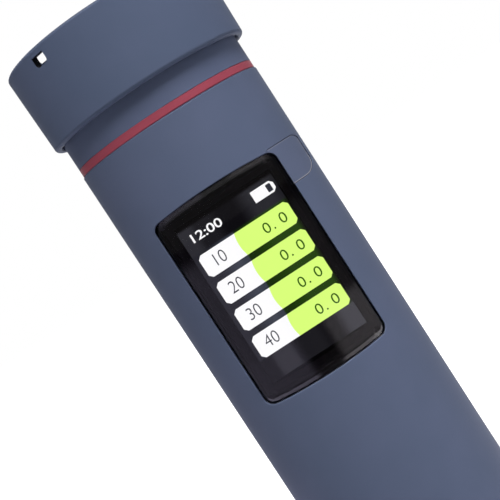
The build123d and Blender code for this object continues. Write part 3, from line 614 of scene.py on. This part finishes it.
# two near colours, roughness, grain and relief in millimetres, and gloss where it isn't the usual half
black_nylon = moulded("glass_filled_nylon", "#141416", "#1b1c1f", 0.5, 0.5, 0.004)
ivory_nylon = moulded("ivory_nylon", "#ddd4bd", "#e6dfca", 0.4, 0.6, 0.002)
black_rubber = moulded("black_silicone_rubber", "#121214", "#19191b", 0.7, 0.4, 0.004, 0.3)
black_foam = moulded("closed_cell_foam", "#18181a", "#242427", 0.9, 0.35, 0.05, 0.2)
black_adhesive = moulded("black_adhesive_foam", "#09090b", "#0c0c0e", 0.75, 0.3, 0.002, 0.1)
chip_epoxy = moulded("moulded_chip_epoxy", "#121315", "#1a1b1d", 0.45, 0.15, 0.003)
lamp_resin = moulded("lamp_phosphor_resin", "#e2c85a", "#ecd775", 0.25, 0.3, 0.001)
tile_glaze = moulded("glazed_white_ceramic", "#eeede8", "#f4f3ee", 0.14, 4.0, 0.002)
panel_glass = moulded("black_display_glass", "#09090b", "#0d0d10", 0.12, 2.0, 0.0005)
print("grain of the smoothest:", tile_glaze.name)

# %% [markdown]
# ## Glass and metals
# Glass lets light through and bends it by 1.52. A metal is fully metallic and gets its colour from what it
# mirrors, so its roughness says how it was made: a lathe leaves rings, plating a fine mottle, and a
# laminated foil long soft creases.

# %% Make glass and metals
CLEAR = {"IOR": 1.52, "Transmission Weight": 1.0}
METAL = {"Metallic": 1.0}
METAL_SPREAD = (-0.05, 0.07)
COATING_MARKS = lumps(2.0, detail=2.0)
PLATING = lumps(0.35)
CREASES = lumps(6.0, detail=4.0)
RING_PITCH_MM = 0.16
TURNED_RINGS = ridges(RING_PITCH_MM, wave_type="RINGS", rings_direction="Z")


def metal(name, colour, roughness, pattern, relief_mm):
    """A metal with a pattern left by how its surface was made."""
    smooth, rough = (roughness + spread for spread in METAL_SPREAD)
    return make_finish(name, pattern, colour, (smooth, rough), relief_mm, METAL)


optical_glass = make_finish("coated_optical_glass", COATING_MARKS, "#f2f7f8", (0.0, 0.01), shader=CLEAR)
# colour, roughness, pattern, and relief in millimetres
turned_steel = metal("turned_stainless_steel", "#c3c4c6", 0.28, TURNED_RINGS, 0.002)
zinc_steel = metal("zinc_plated_steel", "#a7abb1", 0.34, PLATING, 0.002)
tinned_steel = metal("tinned_steel", "#c9cac8", 0.3, PLATING, 0.001)
gold_plating = metal("gold_plated_contacts", "#e6b866", 0.24, PLATING, 0.001)
cell_foil = metal("laminated_cell_foil", "#b9babd", 0.38, CREASES, 0.05)
print("lathe rings to a millimetre:", round(1 / RING_PITCH_MM, 1))

# %% [markdown]
# ## Boards, film and leads
# A circuit board is green solder mask with paler copper tracks showing under it, and a flexible one is
# amber film with tracks side by side. A brick pattern draws the first and a wave the second, at the tracks'
# real pitch. The battery's two leads are one solid, so one finish makes the left lead red and the right one
# black.

# %% Make boards, film and leads
FILM_TRACKS = ridges(0.5, wave_type="BANDS", bands_direction="X")
FILM_COLOURS = ("#8a4f16", "#c07c2c")
LEAD_GRAIN = lumps(0.3, detail=2.0)
LEAD_RED = ("#a01c1c", "#ab2323")
LEAD_BLACK = ("#141416", "#1c1c1f")


def solder_mask():
    """A circuit board: green solder mask with paler tracks under it, rows of them 0.6 mm apart."""
    material, tree, place = new_material("green_solder_mask")
    layout = {
        "Vector": facing_front(tree, place),
        "Color1": linear("#0f4a2c"),
        "Color2": linear("#125230"),
        "Mortar": linear("#1d6b42"),
        "Scale": 1.0,
        "Mortar Size": 0.09 * MM,
        "Brick Width": 3.2 * MM,
        "Row Height": 0.6 * MM,
    }
    tracks = add_node(tree, "ShaderNodeTexBrick", layout)
    relief = add_node(tree, "ShaderNodeBump", {"Height": tracks.outputs["Fac"], "Distance": 0.02 * MM})
    inputs = {"Base Color": tracks, "Roughness": 0.35, "Normal": relief}
    surface = add_node(tree, "ShaderNodeBsdfPrincipled", inputs)
    add_node(tree, "ShaderNodeOutputMaterial", {"Surface": surface})
    return material


def black_on_the_right(tree, place, colour):
    """Keeps the colour left of the barrel's middle and turns it black right of it."""
    across = add_node(tree, "ShaderNodeSeparateXYZ", {"Vector": place}).outputs["X"]
    right = add_node(tree, "ShaderNodeMath", {0: across, 1: 0.0}, operation="GREATER_THAN")
    black = tinted(tree, lay_pattern(tree, place, LEAD_GRAIN), *LEAD_BLACK)
    return add_node(tree, "ShaderNodeMix", {"Factor": right, "A": colour, "B": black}, data_type="RGBA")


board_mask = solder_mask()
amber_film = make_finish("polyimide_film", FILM_TRACKS, FILM_COLOURS, roughness=0.25, relief_mm=0.01)
lead_rubber = make_finish("silicone_lead_insulation", LEAD_GRAIN, LEAD_RED, 0.5, marks_and_painted_light=black_on_the_right)
print("boards and leads:", board_mask.name, amber_film.name, lead_rubber.name)

# %% [markdown]
# ## Dressing the model
# Each node of the model has one finish. Setting it on the mesh's own slot leaves the mesh itself untouched.

# %% Give every piece of the model its finish
FINISHES = {
    plain_lacquer: ("tail_cap",),
    cap_lacquer: ("cap_shell",),
    neck_lacquer: ("head_shell",),
    barrel_lacquer: ("body_shell",),
    key_lacquer: ("measure_key",),
    red_lacquer: ("accent_ring",),
    window_acrylic: ("display_window",),
    panel_glass: ("display_panel",),
    black_adhesive: ("window_gasket", "battery_pad"),
    black_nylon: ("tile_retainer", "optics_block", "light_baffle", "chassis", "display_frame"),
    ivory_nylon: ("flex_connector", "battery_connector"),
    black_rubber: ("cap_grip_ring", "tail_seal"),
    black_foam: ("tile_cushion",),
    tile_glaze: ("calibration_tile",),
    optical_glass: ("protective_glass", "collector_lens"),
    lamp_resin: ("leds",),
    chip_epoxy: ("sensor_chip", "main_chip", "key_switch", "switch_plunger"),
    board_mask: ("led_board", "sensor_board", "main_board"),
    amber_film: ("sensor_flex", "display_flex"),
    lead_rubber: ("battery_leads",),
    cell_foil: ("battery",),
    turned_steel: ("aperture_ring",),
    tinned_steel: ("usb_connector", "radio_module"),
    zinc_steel: ("optics_screws", "board_screws", "tail_screws"),
}
undressed = set(nodes)
for finish, members in FINISHES.items():
    for member in members:
        mesh = nodes[member].data
        mesh.materials.clear()
        mesh.materials.append(finish)
        undressed.discard(member)
print("pieces without a finish:", sorted(undressed))

# %% [markdown]
# ## Tools for modelling
# New pieces are modelled as by hand: a primitive is set at its size and place and shaped in edit mode.
# Operators act on whatever is selected, so each piece starts from an empty selection, and faces are picked
# by their normal or place. A finished piece keeps its object at the origin and its place in its mesh.

# %% Helpers for modelling
DOUBLES_WITHIN = 0.0001 * MM


def start_piece(name, finish):
    """Takes the new primitive, applies its place and gives it a name and a finish."""
    piece = bpy.context.object
    bpy.ops.object.transform_apply(location=True, rotation=True, scale=True)
    piece.name = name
    piece.data.name = name
    piece.data.materials.clear()
    piece.data.materials.append(finish)
    return piece


def deselect():
    """Empties the selection."""
    bpy.ops.object.select_all(action="DESELECT")


def select_only(piece):
    """Makes one piece the only selected one."""
    deselect()
    piece.select_set(True)
    bpy.context.view_layer.objects.active = piece


def edit(piece):
    """Opens edit mode on one piece with everything in it selected."""
    select_only(piece)
    bpy.ops.object.mode_set(mode="EDIT")
    bpy.ops.mesh.select_all(action="SELECT")


def close_edit():
    """Goes back to object mode."""
    bpy.ops.object.mode_set(mode="OBJECT")


def pick(piece, kind, wanted):
    """Selects the faces, edges or vertices of a piece in edit mode that a test wants."""
    bpy.ops.mesh.select_mode(type={"polygons": "FACE", "edges": "EDGE", "vertices": "VERT"}[kind])
    bpy.ops.mesh.select_all(action="DESELECT")
    bpy.ops.object.mode_set(mode="OBJECT")
    for element in getattr(piece.data, kind):
        element.select = bool(wanted(element))
    bpy.ops.object.mode_set(mode="EDIT")


def apply_modifier(piece, kind, **settings):
    """Adds a modifier and applies it."""
    select_only(piece)
    modifier = piece.modifiers.new(kind.lower(), kind)
    for name, value in settings.items():
        setattr(modifier, name, value)
    bpy.ops.object.modifier_apply(modifier=modifier.name)


def copy_piece(piece, shift):
    """A copy with its own mesh, moved by a shift."""
    twin = piece.copy()
    twin.data = piece.data.copy()
    twin.data.transform(Matrix.Translation(shift))
    bpy.context.scene.collection.objects.link(twin)
    return twin


def join_pieces(pieces, name):
    """Joins pieces into one and names it."""
    select_only(pieces[0])
    for piece in pieces:
        piece.select_set(True)
    if len(pieces) > 1:
        bpy.ops.object.join()
    joined = bpy.context.object
    joined.name = name
    joined.data.name = name
    return joined


def settle(piece, body):
    """Recalculates the normals and lets the piece ride with its body."""
    edit(piece)
    bpy.ops.mesh.remove_doubles(threshold=DOUBLES_WITHIN)
    bpy.ops.mesh.normals_make_consistent(inside=False)
    close_edit()
    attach(piece, body)
    print(piece.name, "faces:", len(piece.data.polygons))


print("points closer than", DOUBLES_WITHIN / MM, "mm count as one")

# %% [markdown]
# ## The black print on the window's back
# The print hides the glue and the display's edge, and leaves an opening for the picture. It is a skin on a
# curved back, so it is cut from a tube of the same radius: the tube is bisected at the print's edges and at
# the opening's, the middle is deleted, and a Solidify modifier gives the skin its thickness.

# %% Cut the window's print from a tube
BODY_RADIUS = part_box("body_shell")[1].x
WINDOW_LOW, WINDOW_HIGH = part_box("display_window")
WINDOW_BACK_RADIUS = BODY_RADIUS - 1.05 * MM
PRINT_GAP = 0.005 * MM
PRINT_THICKNESS = 0.03 * MM
GASKET_OPENING = Vector((8.48, 0, 13.58)) * MM
PICTURE_LOW = Vector((-7.33, 0, 51.98)) * MM
PICTURE_HIGH = Vector((7.67, 0, 77.18)) * MM
TUBE_SIDES = 256


def cut_plane(point, normal, drop=False):
    """Bisects what is selected. With drop, the side that the normal points to goes."""
    bpy.ops.mesh.select_all(action="SELECT")
    bpy.ops.mesh.bisect(plane_co=point, plane_no=normal, clear_outer=drop, clear_inner=False)


def in_the_picture(face):
    """True for a face of the print that would hide the picture."""
    across = PICTURE_LOW.x < face.center.x < PICTURE_HIGH.x
    return across and PICTURE_LOW.z < face.center.z < PICTURE_HIGH.z


def make_window_print():
    """The print inside the glue frame, with its opening for the picture."""
    middle = (WINDOW_LOW.z + WINDOW_HIGH.z) / 2
    deselect()
    bpy.ops.mesh.primitive_cylinder_add(
        vertices=TUBE_SIDES,
        radius=WINDOW_BACK_RADIUS - PRINT_GAP,
        depth=2 * GASKET_OPENING.z,
        end_fill_type="NOTHING",
        location=(0, 0, middle),
    )
    skin = start_piece("window_print", black_print)
    edit(skin)
    cut_plane((0, 0, 0), (0, 1, 0), drop=True)
    cut_plane((GASKET_OPENING.x, 0, 0), (1, 0, 0), drop=True)
    cut_plane((-GASKET_OPENING.x, 0, 0), (-1, 0, 0), drop=True)
    for x in (PICTURE_LOW.x, PICTURE_HIGH.x):
        cut_plane((x, 0, 0), (1, 0, 0))
    for z in (PICTURE_LOW.z, PICTURE_HIGH.z):
        cut_plane((0, 0, z), (0, 0, 1))
    pick(skin, "polygons", in_the_picture)
    bpy.ops.mesh.delete(type="FACE")
    close_edit()
    apply_modifier(skin, "SOLIDIFY", thickness=PRINT_THICKNESS, offset=-1.0)
    return skin


print_middle = make_window_print()
print("middle of the print, faces:", len(print_middle.data.polygons))

# %% [markdown]
# Round that opening, the print covers the glue frame. The frame's solid touches the window's back all over,
# and two faces in one place flicker in a render. So the border of the print is taken from a copy of the
# frame's front face, and the frame itself is a copy too, set back behind the print. Both keep the frame's
# outline.

# %% Print over the glue frame
BORDER_GAP = 0.015 * MM
FRAME_SETBACK = 0.05 * MM
ON_THE_FRONT = 0.02 * MM


def copy_of_solid(name, node, finish):
    """A copy of a solid as a new piece, with its loose triangles joined."""
    mesh = nodes[node].data.copy()
    mesh.name = name
    mesh.materials.clear()
    mesh.materials.append(finish)
    piece = bpy.data.objects.new(name, mesh)
    bpy.context.scene.collection.objects.link(piece)
    edit(piece)
    bpy.ops.mesh.remove_doubles(threshold=DOUBLES_WITHIN)
    close_edit()
    return piece


def on_the_front(point):
    """True for a point on the curved front of the glue frame."""
    return point.xy.length > WINDOW_BACK_RADIUS - ON_THE_FRONT


def set_back_front(piece, depth):
    """Moves the curved front towards the barrel's axis."""
    for vertex in piece.data.vertices:
        if on_the_front(vertex.co):
            share = (WINDOW_BACK_RADIUS - depth) / vertex.co.xy.length
            vertex.co.x *= share
            vertex.co.y *= share


def make_print_border():
    """The frame's front face by itself, thickened as print."""
    border = copy_of_solid("print_border", "window_gasket", black_print)
    corners = border.data.vertices
    edit(border)
    pick(border, "polygons", lambda face: not all(on_the_front(corners[i].co) for i in face.vertices))
    bpy.ops.mesh.delete(type="FACE")
    close_edit()
    set_back_front(border, BORDER_GAP)
    apply_modifier(border, "SOLIDIFY", thickness=PRINT_THICKNESS, offset=-1.0)
    return border


window_print = join_pieces([print_middle, make_print_border()], "window_print")
settle(window_print, "housing")
glue_frame = copy_of_solid("glue_frame", "window_gasket", black_adhesive)
set_back_front(glue_frame, FRAME_SETBACK)
settle(glue_frame, "housing")
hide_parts("window_gasket")

# %% [markdown]
# ## The picture on the display
# The display shows four readings, a row of plain numbers at the top and a battery sign. Each is a field of
# light that lies on the panel's glass, a few hundredths of a millimetre in front of it, in its own layer. A
# row is a plane whose corners are bevelled. It is modelled once and copied down at the rows' pitch.

# %% Lay out the picture
PANEL_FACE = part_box("display_panel")[0].y
LAYER = 0.012 * MM
ROW_LEFT, ROW_SPLIT, ROW_RIGHT = -6.75 * MM, -0.83 * MM, 7.48 * MM
ROW_TOP, ROW_HEIGHT, ROW_PITCH = 72.30 * MM, 3.47 * MM, 4.45 * MM
ROW_COUNT = 4
ROW_MIDDLE = ROW_TOP - ROW_HEIGHT / 2
LAST_ROW_FOOT = ROW_TOP - (ROW_COUNT - 1) * ROW_PITCH - ROW_HEIGHT


def layer_depth(layer):
    """The place along Y of a layer of the picture, counted from the panel's face."""
    return PANEL_FACE - layer * LAYER


def front_sheet(name, finish, low, high, layer):
    """A flat field seen from the front, from its low corner to its high corner."""
    deselect()
    centre = (low + high) / 2
    place = (centre.x, layer_depth(layer), centre.z)
    bpy.ops.mesh.primitive_plane_add(size=1, location=place, rotation=FACING_FRONT)
    bpy.context.object.scale = (high.x - low.x, high.z - low.z, 1)
    return start_piece(name, finish)


def bevel_corners(piece, wanted, width):
    """Bevels the corners of a field that a test wants."""
    edit(piece)
    pick(piece, "vertices", wanted)
    bpy.ops.mesh.bevel(offset=width, offset_type="OFFSET", segments=1, affect="VERTICES")
    close_edit()


def thicken(piece):
    """Gives a field half a layer of thickness, towards the panel."""
    edit(piece)
    bpy.ops.mesh.extrude_region_move(TRANSFORM_OT_translate={"value": (0, LAYER / 2, 0)})
    close_edit()


def down_the_rows(piece, name):
    """Copies a row's piece down the display and joins the copies."""
    rows = [piece] + [copy_piece(piece, Vector((0, 0, -i * ROW_PITCH))) for i in range(1, ROW_COUNT)]
    return join_pieces(rows, name)


print("rows:", ROW_COUNT, "from", round(LAST_ROW_FOOT / MM, 2), "to", round(ROW_TOP / MM, 2), "mm")

# %% [markdown]
# Even its black lets a little of the backlight through. Between the white fields it is a dark blue, between
# the green ones a dark green, and above and below the rows it is lighter in soft grey patches. A patch has a
# middle and a soft edge, in millimetres, and its share of the grey. Across the rows one colour takes over
# from the last between two places, so there each has a start and an end.

# %% Make the unlit ground of the picture
GROUND_DARK = "#100f13"
GROUND_PATCH_GREY = "#43434a"
PATCH_HALF = 1 * MM
PATCHES_BELOW = ((-4, 1, 0.5), (0, 2, 0.15), (7, 2, 0.9))
PATCHES_ABOVE = ((-7, 2, 0.5), (-4, 2, 0.15), (5, 3, 0.45))
LEFT_OF_ROWS = "#28282f"
ACROSS_ROWS = (
    (-5.5, -2.0, "#3f444f"),
    (-0.95, -0.7, "#1d310f"),
    (-0.7, 3.5, "#284610"),
    (6.9, 7.7, "#161810"),
)
ZONE_BLUR = 0.5 * MM
ROWS_BLUR = 0.1 * MM
HEADER_DARK = "#050405"
HEADER_DARK_STARTS = 76.2 * MM


def grey_patches(tree, across, patches):
    """The black with the patches of a zone in it."""
    light = 0.0
    for middle, soft, share in patches:
        patch = around(tree, across, middle * MM, PATCH_HALF, soft * MM, share)
        light = add_node(tree, "ShaderNodeMath", {0: light, 1: patch}, operation="MAXIMUM")
    return paint_over(tree, light, linear(GROUND_DARK), GROUND_PATCH_GREY)


def ground_between_rows(tree, across):
    """Dark blue between the white fields, dark green between the green ones and nearly black at the right."""
    colour = linear(LEFT_OF_ROWS)
    for start, end, next_colour in ACROSS_ROWS:
        reached = add_node(tree, "ShaderNodeMapRange", span(across, start * MM, end * MM), **SMOOTH)
        colour = paint_over(tree, reached, colour, next_colour)
    return colour


def unlit_ground():
    """The display's black: four zones one above the other, from below the rows to the dark top."""
    material, tree, place = new_material("unlit_display_ground")
    across = add_node(tree, "ShaderNodeSeparateXYZ", {"Vector": place}).outputs["X"]
    rise = height_on_piece(tree, place)
    zones = (
        (LAST_ROW_FOOT - ROWS_BLUR, LAST_ROW_FOOT + ROWS_BLUR, ground_between_rows(tree, across)),
        (ROW_TOP, ROW_TOP + ZONE_BLUR, grey_patches(tree, across, PATCHES_ABOVE)),
        (HEADER_DARK_STARTS, HEADER_DARK_STARTS + ZONE_BLUR, linear(HEADER_DARK)),
    )
    colour = grey_patches(tree, across, PATCHES_BELOW)
    for start, end, zone in zones:
        reached = add_node(tree, "ShaderNodeMapRange", span(rise, start, end), **SMOOTH)
        inputs = {"Factor": reached, "A": colour, "B": zone}
        colour = add_node(tree, "ShaderNodeMix", inputs, data_type="RGBA")
    glow = add_node(tree, "ShaderNodeEmission", {"Color": colour, "Strength": 1.0})
    add_node(tree, "ShaderNodeOutputMaterial", {"Surface": glow})
    return material


ground = front_sheet("picture_ground", unlit_ground(), PICTURE_LOW, PICTURE_HIGH, 1)
thicken(ground)
settle(ground, "housing")

# %% [markdown]
# The white fields carry the row numbers and the green ones the readings. A green field lies in front of the
# right part of its white one. Its left side bulges: the edge is subdivided, and its points move out on a
# parabola.

# %% Make the four readings' fields
ROW_CORNER = 0.5 * MM
SPLIT_BULGE = 0.26 * MM
SPLIT_CUTS = 9
ROW_HIGH = Vector((ROW_RIGHT, 0, ROW_TOP))
LABEL_LOW = Vector((ROW_LEFT, 0, ROW_TOP - ROW_HEIGHT))
VALUE_LOW = Vector((ROW_SPLIT, 0, ROW_TOP - ROW_HEIGHT))


def at_the_split(point):
    """True for a point on the left side of a green field."""
    return point.x < ROW_SPLIT + ROW_CORNER / 2


labels = front_sheet("label_fields", white_field, LABEL_LOW, ROW_HIGH, 2)
bevel_corners(labels, lambda corner: True, ROW_CORNER)
thicken(labels)
labels = down_the_rows(labels, "label_fields")
settle(labels, "housing")

values = front_sheet("value_fields", green_field, VALUE_LOW, ROW_HIGH, 3)
bevel_corners(values, lambda corner: corner.co.x > ROW_SPLIT + ROW_CORNER, ROW_CORNER)
corners = values.data.vertices
edit(values)
pick(values, "edges", lambda edge: all(at_the_split(corners[i].co) for i in edge.vertices))
bpy.ops.mesh.subdivide(number_cuts=SPLIT_CUTS)
close_edit()
for corner in values.data.vertices:
    if at_the_split(corner.co):
        from_middle = (corner.co.z - ROW_MIDDLE) / (ROW_HEIGHT / 2)
        corner.co.x -= SPLIT_BULGE * (1 - from_middle**2)
thicken(values)
values = down_the_rows(values, "value_fields")
settle(values, "housing")

# %% [markdown]
# ## Numbers
# The numbers are text objects in Blender's own face, drawn wider or narrower to fit their field. A slightly
# negative offset thins the strokes of the row numbers, and a positive one thickens those of the header.
# Each is made a mesh before its place is applied, because text keeps its place in its object.

# %% Write the numbers
NUMBER_LAYER = 4
CURVE_STEPS = 6
DIGIT = {"size": 2.2 * MM, "width": 1.05}
DIGIT_PLACES = (3.31 * MM, 5.90 * MM)
DIGIT_HEIGHT = ROW_MIDDLE - 0.13 * MM
POINT = {"size": 2.2 * MM}
POINT_PLACE = 4.29 * MM
POINT_HEIGHT = ROW_MIDDLE - 0.15 * MM
LABEL = {"size": 2.6 * MM, "width": 0.85, "stroke": -0.026 * MM}
LABEL_PLACE = -4.3 * MM
LABEL_STEP = 10
HEADER = {"size": 1.8 * MM, "width": 1.3, "stroke": 0.0216 * MM}
HEADER_PLACE = -3.87 * MM
HEADER_HEIGHT = 74.71 * MM


def write_number(name, text, finish, x, z, size, width=1.0, stroke=0.0):
    """A number that stands centred on x and z, in front of the fields."""
    deselect()
    bpy.ops.object.text_add(location=(x, layer_depth(NUMBER_LAYER), z), rotation=FACING_FRONT)
    letters = bpy.context.object
    letters.data.body = text
    letters.data.size = size
    letters.data.align_x = "CENTER"
    letters.data.align_y = "CENTER"
    letters.data.offset = stroke
    letters.data.extrude = LAYER / 4
    letters.data.resolution_u = CURVE_STEPS
    letters.scale = (width, 1, 1)
    bpy.ops.object.convert(target="MESH")
    return start_piece(name, finish)


digits = [write_number("digit", "0", dark_ink, x, DIGIT_HEIGHT, **DIGIT) for x in DIGIT_PLACES]
digits.append(write_number("point", ".", dark_ink, POINT_PLACE, POINT_HEIGHT, **POINT))
value_digits = down_the_rows(join_pieces(digits, "value_digits"), "value_digits")
settle(value_digits, "housing")

label_numbers = []
for row in range(ROW_COUNT):
    number = str(LABEL_STEP * (row + 1))
    height = ROW_MIDDLE - row * ROW_PITCH
    label_numbers.append(write_number("label", number, grey_ink, LABEL_PLACE, height, **LABEL))
settle(join_pieces(label_numbers, "label_digits"), "housing")

header = write_number("header_digits", "12:00", white_field, HEADER_PLACE, HEADER_HEIGHT, **HEADER)
settle(header, "housing")

# %% [markdown]
# ## The battery sign
# The sign is a white field whose right corners are cut, with a dark gap in its right half that says how
# much of the charge is gone. Both are made as the rows are.

# %% Draw the battery sign
SIGN_LOW = Vector((3.91, 0, 74.12)) * MM
SIGN_HIGH = Vector((7.31, 0, 75.82)) * MM
SIGN_CORNER = 0.45 * MM
GAP_LOW = Vector((6.15, 0, 74.40)) * MM
GAP_HIGH = Vector((6.87, 0, 75.54)) * MM
GAP_CORNER = 0.06 * MM

sign = front_sheet("battery_sign", white_field, SIGN_LOW, SIGN_HIGH, 3)
bevel_corners(sign, lambda corner: corner.co.x > SIGN_LOW.x + SIGN_CORNER, SIGN_CORNER)
sign_gap = front_sheet("battery_sign_gap", grey_ink, GAP_LOW, GAP_HIGH, NUMBER_LAYER)
bevel_corners(sign_gap, lambda corner: True, GAP_CORNER)
for piece in (sign, sign_gap):
    thicken(piece)
    settle(piece, "housing")

# %% [markdown]
# ## The tail's screws
# Two countersunk screws hold the tail. The model has them as plain heads and shafts, and here they get
# their hexagonal drive, cut with a Boolean modifier, and a small bevel where the head was turned. They
# replace the plain ones and keep their place.

# %% Model the tail screws
SCREW_LOW, SCREW_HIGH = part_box("tail_screws")
SCREW_HEAD_RADIUS = (SCREW_HIGH.y - SCREW_LOW.y) / 2
SCREW_MIDDLE = (SCREW_HIGH.y + SCREW_LOW.y) / 2
SCREW_SPREAD = SCREW_HIGH.x - SCREW_HEAD_RADIUS
SCREW_HEAD_HEIGHT = 1.2 * MM
SCREW_SHAFT_RADIUS = 1.0 * MM
SCREW_TIP = SCREW_SHAFT_RADIUS / 2
SCREW_TIP_SHARE = 0.5
FACES_UP = 0.9
SCREW_EDGE = 0.12 * MM
SCREW_SIDES = 64
SHARP_ANGLE = radians(60)
SMOOTH_ANGLE = radians(35)
DRIVE_RADIUS = 0.95 * MM
DRIVE_DEPTH = 0.75 * MM


def make_tail_screw():
    """One screw: a turned head on a shaft with a tapered tip."""
    deselect()
    bpy.ops.mesh.primitive_cylinder_add(
        vertices=SCREW_SIDES,
        radius=SCREW_HEAD_RADIUS,
        depth=SCREW_HEAD_HEIGHT,
        location=(SCREW_SPREAD, SCREW_MIDDLE, SCREW_LOW.z + SCREW_HEAD_HEIGHT / 2),
    )
    screw = start_piece("tail_screw_bodies", zinc_steel)
    edit(screw)
    pick(screw, "polygons", lambda face: face.normal.z > FACES_UP)
    bpy.ops.mesh.inset(thickness=SCREW_HEAD_RADIUS - SCREW_SHAFT_RADIUS)
    shaft_length = SCREW_HIGH.z - SCREW_LOW.z - SCREW_HEAD_HEIGHT - SCREW_TIP
    bpy.ops.mesh.extrude_region_move(TRANSFORM_OT_translate={"value": (0, 0, shaft_length)})
    bpy.ops.mesh.extrude_region_move(TRANSFORM_OT_translate={"value": (0, 0, SCREW_TIP)})
    centre = (SCREW_SPREAD, SCREW_MIDDLE, SCREW_HIGH.z)
    bpy.ops.transform.resize(value=(SCREW_TIP_SHARE, SCREW_TIP_SHARE, 1), center_override=centre)
    close_edit()
    only_sharp = {"limit_method": "ANGLE", "angle_limit": SHARP_ANGLE}
    apply_modifier(screw, "BEVEL", width=SCREW_EDGE, segments=3, **only_sharp)
    return screw


def cut_drive(screw):
    """Cuts the hexagonal drive into the head from below."""
    deselect()
    bpy.ops.mesh.primitive_cylinder_add(
        vertices=6,
        radius=DRIVE_RADIUS,
        depth=2 * DRIVE_DEPTH,
        location=(SCREW_SPREAD, SCREW_MIDDLE, SCREW_LOW.z),
    )
    cutter = start_piece("drive_cutter", zinc_steel)
    apply_modifier(screw, "BOOLEAN", object=cutter, operation="DIFFERENCE", solver="EXACT")
    bpy.data.objects.remove(cutter)


screw = make_tail_screw()
cut_drive(screw)
twin = copy_piece(screw, Vector((-2 * SCREW_SPREAD, 0, 0)))
screws = join_pieces([screw, twin], "tail_screw_bodies")
settle(screws, "housing")
select_only(screws)
bpy.ops.object.shade_smooth_by_angle(angle=SMOOTH_ANGLE)
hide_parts("tail_screws")

# %% [markdown]
# ## The socket's contacts
# A small oval socket has twelve gold-plated contacts on each face of its tongue, half a millimetre apart.
# One contact is a cube stretched to a blade with bevelled edges, and the rest are copies of it.

# %% Model the socket's contacts
SOCKET_LOW, SOCKET_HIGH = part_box("usb_connector")
SOCKET_MIDDLE = (SOCKET_LOW.y + SOCKET_HIGH.y) / 2
TONGUE_HALF = 0.35 * MM
CONTACT_COUNT = 12
CONTACT_PITCH = 0.5 * MM
CONTACT_SIZE = Vector((0.26, 0.06, 3.4)) * MM
CONTACT_RISE = 0.9 * MM
CONTACT_EDGE = 0.02 * MM


def make_contact():
    """The first contact, on the front face of the tongue at its left end."""
    deselect()
    left_end = -(CONTACT_COUNT - 1) / 2 * CONTACT_PITCH
    middle = SOCKET_LOW.z + CONTACT_RISE + CONTACT_SIZE.z / 2
    place = (left_end, SOCKET_MIDDLE - TONGUE_HALF, middle)
    bpy.ops.mesh.primitive_cube_add(size=1, location=place, scale=CONTACT_SIZE)
    contact = start_piece("socket_contacts", gold_plating)
    apply_modifier(contact, "BEVEL", width=CONTACT_EDGE, segments=2)
    return contact


contact = make_contact()
contacts = [contact]
for face in (0, 1):
    for place in range(CONTACT_COUNT):
        if face or place:
            shift = Vector((place * CONTACT_PITCH, face * 2 * TONGUE_HALF, 0))
            contacts.append(copy_piece(contact, shift))
settle(join_pieces(contacts, "socket_contacts"), "housing")
